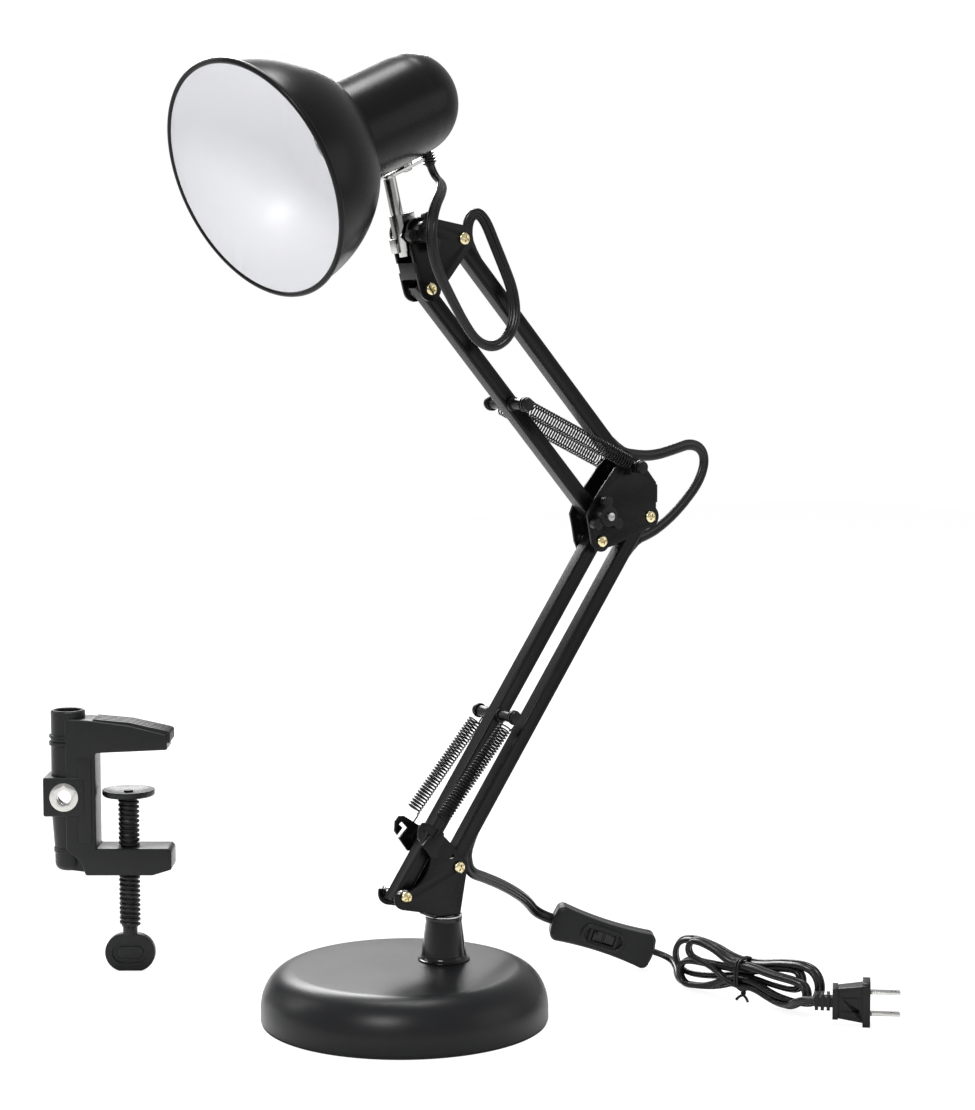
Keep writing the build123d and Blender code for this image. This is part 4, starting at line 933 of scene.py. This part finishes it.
def screwTree():
    fixing = Geometry("setScrews", [
        ("Screw", "NodeSocketObject", None), ("Most Turn", "NodeSocketVector", (0.0, 6.283, 0.0)),
        ("Seed", "NodeSocketInt", 5), ("Material", "NodeSocketMaterial", None),
    ])
    template = fixing.node("GeometryNodeObjectInfo", {}, {"Object": fixing.input("Screw")}, output="Geometry")
    turn = fixing.node("FunctionNodeRandomValue", {"data_type": "FLOAT_VECTOR"}, {
        0: (0.0, 0.0, 0.0), 1: fixing.input("Most Turn"), "Seed": fixing.input("Seed")})
    turned = fixing.node("FunctionNodeEulerToRotation", {}, {0: turn})
    fixing.close(fixing.node("GeometryNodeInstanceOnPoints", {}, {
        "Points": fixing.input("Geometry"), "Instance": template, "Rotation": turned}))
    return fixing


def turnedCopy(piece, place):
    copy = piece.copy()
    copy.data = piece.data.copy()
    copy.data.transform(place)
    scene.collection.objects.link(copy)
    return copy


def growScrews(plan, fixing, name, slotName, node, places, values):
    points = bpy.data.meshes.new(name)
    points.from_pydata(places, [], [])
    mesh = fixing.grow(points, {**values, "Material": finishes[slotName]})
    mesh.set_sharp_from_angle(angle=radians(plan["sharpAngle"]))
    seat(addObject(name, mesh, slotName), node)


def setScrews(plan):
    head = screwHead(plan)
    fixing = screwTree()
    facing = turnedCopy(head, axes((0, 0, 0), (0, -1, 0), (1, 0, 0)))
    for name, node, places in plan["sets"]:
        points = metres((x, plan["front"], z) for x, z in places)
        growScrews(plan, fixing, name, "brass", node, points, {"Screw": facing, "Seed": plan["seed"] + len(name)})
    sideways = turnedCopy(head, axes((0, 0, 0), bell["down"], bell["back"]))
    point = headPlace @ (Vector(plan["stripPlace"]) * millimetre)
    growScrews(plan, fixing, "stripScrew", "zinc", "strip_screw", [point],
               {"Screw": sideways, "Most Turn": (0.0, 0.0, 0.0)})
    for template in (head, facing, sideways):
        bpy.data.objects.remove(template)


setScrews(screws)
print("screws set")


# Rigid pieces whose CAD form is right: broken edges and smooth faces
brokenEdges = {
    "base_pad": 0.3, "swivel_washer": 0.1, "swivel_pin": 0.2, "lower_bracket": 0.35, "elbow_bracket": 0.35,
    "top_bracket": 0.35, "lower_fasteners": 0.15, "elbow_fasteners": 0.15, "top_fasteners": 0.15,
    "lower_main_rod": 0.3, "lower_link_rod": 0.3, "upper_main_rod": 0.3, "upper_link_rod": 0.3,
    "lower_cord_guides": 0.15, "upper_cord_guides": 0.15, "lower_spring_pin": 0.2, "upper_spring_pin": 0.2,
    "elbow_spring_pin": 0.2, "elbow_knob": 0.6, "head_knob": 0.6, "stem_strap": 0.18, "stem": 0.1,
    "strip_bracket": 0.25, "strain_relief": 0.2, "switch_lower_shell": 0.35, "switch_upper_shell": 0.35,
    "plug_body": 0.35, "plug_blades": 0.15, "clamp_insert": 0.4,
}
for node, width in brokenEdges.items():
    softened(node, width)
print("edges broken on", len(brokenEdges), "pieces")


# Table clamp: threaded screw, dished pad, cast frame with ribs along its upper jaw
clamp = {
    "foot": (-83.0, 194.0, 0.0),
    "yaw": -34.0,
    "threadRadius": 6.5,
    "rootRadius": 5.3,
    "pitch": 3.0,
    "threadLow": 28.8,
    "threadHigh": 112.2,
    "neckRadius": 4.6,
    "paddleWidth": 31.8,
    "paddleHeight": 24.5,
    "paddleDrop": 0.4,
    "padRadius": 16.5,
    "padTop": 116.3,
    "padThickness": 4.0,
    "ribCount": 5,
    "ribStep": 4.7,
    "ribHalf": 1.5,
    "ribHeight": 1.9,
}
clampTurn = Matrix.Rotation(radians(clamp["yaw"]), 4, "Z")
clampPlace = Matrix.Translation(Vector(clamp["foot"]) * millimetre) @ clampTurn


def block(name, outline, near, far, width, upright=False):
    work = bmesh.new()
    rings = []
    for depth in (near, far):
        corners = metres((x, z, depth) if upright else (x, depth, z) for x, z in outline)
        rings.append([work.verts.new(corner) for corner in corners])
    stitch(work, rings)
    bmesh.ops.recalc_face_normals(work, faces=work.faces)
    edges = [edge for edge in work.edges if edge.calc_face_angle() > radians(28)]
    if width:
        bmesh.ops.bevel(work, geom=edges, offset=width * millimetre, segments=3, profile=0.6, affect="EDGES",
                        clamp_overlap=True)
    return finishMesh(work, name, "dark_plastic")


def pillar(name, place, profile, steps=96):
    place = Matrix.Translation(Vector(place) * millimetre)
    return lathe(name, profile, "dark_plastic", place, steps=steps, closed=False)


def oval(width, height, middle):
    radius = height / 2
    reach = width / 2 - radius
    right = arc((reach, middle), (radius, radius), -90, 90, 22)
    left = arc((-reach, middle), (radius, radius), 90, 270, 22)
    return right + left


def makeClampScrew(plan):
    low, high = plan["threadLow"], plan["threadHigh"]
    turns = (high - low - 3.0) / plan["pitch"]
    ridge = (plan["threadRadius"] - plan["rootRadius"]) * 0.95
    thread = winding.grow(bpy.data.meshes.new("thread"), {
        "Coil Radius": (plan["rootRadius"] + ridge * 0.28) * millimetre, "Length": (high - low - 3.0) * millimetre,
        "Turns": turns, "Steps": int(turns * 40), "Wire Radius": ridge * 0.98 * millimetre, "Wire Sides": 8,
        "Material": finishes["dark_plastic"]})
    middle = plan["paddleHeight"] / 2 - plan["paddleDrop"]
    outer = oval(plan["paddleWidth"], plan["paddleHeight"], middle)
    paddle = block("clampScrew", [corner for corner in outer if corner[1] > 0.02], -3.0, 3.0, 0.9)
    recess = oval(plan["paddleWidth"] - 9.0, plan["paddleHeight"] - 11.0, middle)
    for near, far in ((-4.0, -1.5), (1.5, 4.0)):
        carve(paddle, block("paddleRecess", recess, near, far, 0.25), "DIFFERENCE")
    pad = oval(plan["paddleWidth"] - 15.0, plan["paddleHeight"] - 16.5, middle)
    carve(paddle, block("paddlePad", pad, -2.4, 2.4, 0.5), "UNION")
    root, neckRadius, neckFoot = plan["rootRadius"], plan["neckRadius"], plan["paddleHeight"] - 1.6
    neck = [(0, neckFoot), (neckRadius, neckFoot), (neckRadius, low - 0.6), (root, low + 0.4), (0, low + 0.4)]
    carve(paddle, pillar("clampNeck", (0, 0, 0), neck, 64), "UNION")
    work = bmesh.new()
    work.from_mesh(paddle.data)
    bpy.data.objects.remove(paddle)
    placed = len(work.verts)
    work.from_mesh(thread)
    for vertex in work.verts[placed:]:
        vertex.co.z += (low + 1.2) * millimetre
    paddle = finishMesh(work, "clampScrew", "dark_plastic", outward=False)
    rod = [(0, low - 1.0), (root - 0.8, low - 1.0), (root, low), (root, high - 0.6), (root - 0.6, high),
           (2.9, high), (2.9, high + 3.2), (2.5, high + 3.6), (0, high + 3.6)]
    core = lathe("clampCore", rod, "dark_plastic", steps=64, closed=False)
    for piece in (paddle, core):
        piece.data.transform(clampPlace)
        seat(piece, "clamp_screw")


def makeClampPad(plan):
    top = plan["padTop"]
    low = top - plan["padThickness"]
    rim = plan["padRadius"]
    profile = [(3.05, low + 0.2), (3.3, low), (rim - 1.2, low), (rim - 0.2, low + 0.8), (rim, low + 1.6),
               (rim, top - 0.5)]
    profile += arc((rim - 0.5, top - 0.5), (0.5, 0.5), 0, 90, 4)
    profile += [(rim - 1.7, top), (rim - 2.4, top - 0.3), (8.0, top - 1.5), (6.6, top - 1.65), (3.3, top - 1.65),
                (3.05, top - 1.8)]
    seat(lathe("clampPad", profile, "dark_plastic", clampPlace, steps=96), "clamp_pad")


def ribTree():
    ribbing = Geometry("jawRibs", [
        ("Rib", "NodeSocketObject", None), ("Count", "NodeSocketInt", 5), ("Step", "NodeSocketFloat", 0.005),
        ("Material", "NodeSocketMaterial", None),
    ])
    step = ribbing.input("Step")
    count = ribbing.input("Count")
    start = ribbing.node("ShaderNodeCombineXYZ", {}, {"Y": step * (count - 1) * -0.5})
    way = ribbing.node("ShaderNodeCombineXYZ", {}, {"Y": step})
    points = ribbing.node("GeometryNodeMeshLine", {"mode": "OFFSET"}, {
        "Count": count, "Start Location": start, "Offset": way})
    template = ribbing.node("GeometryNodeObjectInfo", {}, {"Object": ribbing.input("Rib")}, output="Geometry")
    ribbing.close(ribbing.node("GeometryNodeInstanceOnPoints", {}, {"Points": points, "Instance": template}))
    return ribbing


def makeClampFrame(plan):
    jaw = [(-38, 80), (-29, 72), (-26, 63.3), (16, 63.3), (28, 67), (28, 78.6), (26, 80.6), (-19, 80.6), (-19, 141),
           (26, 143), (26, 152.6), (2, 158.6), (-24, 162.0), (-38, 162.4)]
    body = block("clampFrame", jaw, -12.0, 12.0, 1.3)
    web = block("clampWeb", [(-30, 84), (-21.5, 84), (-21.5, 138), (-30, 138)], -12.8, 12.8, 0.6)
    centre = (-37.5, 0.0, 0.0)
    barrel = pillar("clampBarrel", centre, [(0, 65.2)] + arc((4.6, 70.0), (4.6, 4.8), -90, 0, 8) + [
        (9.3, 76.6), (9.9, 77.2), (9.9, 79.6), (9.4, 80.2), (10.9, 101.0), (10.9, 144.4), (12.1, 145.2),
        (12.1, 147.2), (11.1, 147.8), (11.1, 149.4), (12.1, 150.0), (12.1, 151.2), (10.8, 152.0), (10.8, 166.0),
        (9.9, 167.0), (0, 167.0)])
    foot = block("clampFoot", [(-38.0, 66.0), (-24.0, 64.2), (-24.0, 96.0), (-38.0, 96.0)], -7.2, 7.2, 1.0)
    boss = block("clampBoss", [(-51.9, 101.0), (-25.5, 101.0), (-25.5, 125.8), (-51.9, 125.8)], -13.2, 13.2, 1.6)
    for part in (web, foot, barrel, boss):
        carve(body, part, "UNION")
    bore = pillar("clampBore", centre, [(0, 79), (8.08, 79), (8.08, 166.4), (8.9, 167.3), (8.9, 172), (0, 172)])
    crossHole = pillar("crossHole", (0, 0, 0), [(0, -16), (9.0, -16), (9.0, 16), (0, 16)], steps=72)
    crossPlace = Matrix.Translation(Vector((-38.7, 0, 113.4)) * millimetre)
    crossHole.data.transform(crossPlace @ Matrix.Rotation(pi / 2, 4, "X"))
    tapped = pillar("tappedHole", (0, 0, 0), [(0, 55), (6.6, 55), (6.6, 90), (0, 90)], steps=72)
    for tool in (bore, crossHole, tapped):
        carve(body, tool, "DIFFERENCE")
    tall = plan["ribHeight"]
    outline = [(-22, 160.4), (27.0, 147.0), (28.0, 148.2), (28.0, 153.0 + tall * 0.4), (26.6, 153.0 + tall),
               (2, 158.6 + tall), (-20, 161.8 + tall * 0.4)]
    rib = block("jawRib", outline, -plan["ribHalf"], plan["ribHalf"], 0.6)
    ribs = ribTree().grow(bpy.data.meshes.new("jawRibs"), {
        "Rib": rib, "Count": plan["ribCount"], "Step": plan["ribStep"] * millimetre,
        "Material": finishes["dark_plastic"]})
    bpy.data.objects.remove(rib)
    work = bmesh.new()
    work.from_mesh(body.data)
    work.from_mesh(ribs)
    bpy.data.objects.remove(body)
    casting = finishMesh(work, "clampCasting", "dark_plastic", outward=False)
    casting.data.transform(clampPlace)
    seat(casting, "clamp_frame")


# Raised oval rim round the rocker
switchRim = {
    "place": (164.0, 25.0, 22.75),
    "across": (0.801938, -0.504924, -0.31929),
    "face": (-0.532957, -0.846142, -0.0005),
    "shellHalf": 8.0,
    "outer": (29.0, 13.4),
    "inner": (24.4, 9.0),
    "height": 2.1,
}


def makeSwitchRim(plan):
    low, high = plan["shellHalf"] - 0.4, plan["shellHalf"] + plan["height"]
    rim = block("switchRim", oval(*plan["outer"], 0.0), low, high, 0.8, upright=True)
    hollow = block("rimHollow", oval(*plan["inner"], 0.0), low - 2.0, high + 2.0, 0.0, upright=True)
    carve(rim, hollow, "DIFFERENCE")
    rim.data.transform(axes(Vector(plan["place"]) * millimetre, plan["face"], plan["across"]))
    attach(rim, "base")
    softened("switch_rocker", 0.3).data.materials[0] = finishes["gloss_black"]


makeSwitchRim(switchRim)
makeClampScrew(clamp)
makeClampPad(clamp)
makeClampFrame(clamp)
print("clamp made")


# Lights and the pale floor
studio = {
    "worldLevel": 0.32,
    "glossShare": 0.25,
    "lamps": [
        ("keyLamp", (-1.9, -1.5, 1.9), (-0.05, 0.0, 0.3), 0.9, 0.8, 36.0),
        ("fillLamp", (1.8, -1.6, 0.9), (0.1, 0.0, 0.25), 1.6, 1.2, 5.0),
        ("topLamp", (0.1, 0.25, 2.2), (0.05, 0.0, 0.3), 0.9, 0.6, 32.0),
        ("backLamp", (0.7, 2.0, 1.6), (0.0, 0.0, 0.4), 1.5, 0.9, 66.0),
        ("rimLamp", (-1.5, 1.7, 1.3), (0.0, 0.0, 0.35), 0.5, 1.3, 8.0),
    ],
    "floorHalf": 3.5,
    "paperColour": (0.86, 0.86, 0.86, 1.0),
    "paperRoughness": 0.9,
    "glow": 1.2,
    "glowShare": 0.76,
}
white = (1.0, 1.0, 1.0, 1.0)


def makeWorld(plan):
    world = bpy.data.worlds.new("studioWorld")
    world.use_nodes = True
    scene.world = world
    graph = Graph(world.node_tree)
    background = world.node_tree.nodes["Background"]
    seen = graph.node("ShaderNodeLightPath", output="Is Camera Ray")
    glossy = graph.node("ShaderNodeLightPath", output="Is Glossy Ray")
    shown = graph.node("ShaderNodeMath", {"operation": "MAXIMUM"}, {0: seen, 1: glossy * plan["glossShare"]})
    graph.feed(background.inputs["Strength"], shown * (1.0 - plan["worldLevel"]) + plan["worldLevel"])
    graph.feed(background.inputs["Color"], white)


def makeLamp(name, place, aim, width, height, power):
    data = bpy.data.lights.new(name, "AREA")
    data.shape = "RECTANGLE"
    data.size = width
    data.size_y = height
    data.energy = power
    lamp = bpy.data.objects.new(name, data)
    lamp.location = place
    lamp.visible_camera = False
    lamp.rotation_euler = (Vector(aim) - Vector(place)).to_track_quat("-Z", "Y").to_euler()
    scene.collection.objects.link(lamp)


def makeFloor(plan):
    half = plan["floorHalf"]
    mesh = bpy.data.meshes.new("studioFloor")
    mesh.from_pydata([(-half, -half, 0), (half, -half, 0), (half, half, 0), (-half, half, 0)], [], [(0, 1, 2, 3)])
    floor = addObject("studioFloor", mesh)
    material = bpy.data.materials.new("whitePaper")
    material.use_nodes = True
    graph = Graph(material.node_tree)
    paper = material.node_tree.nodes["Principled BSDF"]
    graph.feed(paper.inputs["Base Color"], plan["paperColour"])
    graph.feed(paper.inputs["Roughness"], plan["paperRoughness"])
    glow = graph.node("ShaderNodeEmission", {}, {"Color": white, "Strength": plan["glow"]})
    seen = graph.node("ShaderNodeLightPath", output="Is Camera Ray")
    mixed = graph.node("ShaderNodeMixShader", {}, {
        0: seen * plan["glowShare"], 1: Wire(graph, paper.outputs[0]), 2: glow})
    graph.feed(material.node_tree.nodes["Material Output"].inputs["Surface"], mixed)
    mesh.materials.append(material)


makeWorld(studio)
for lamp in studio["lamps"]:
    makeLamp(*lamp)
makeFloor(studio)
print("studio lit")
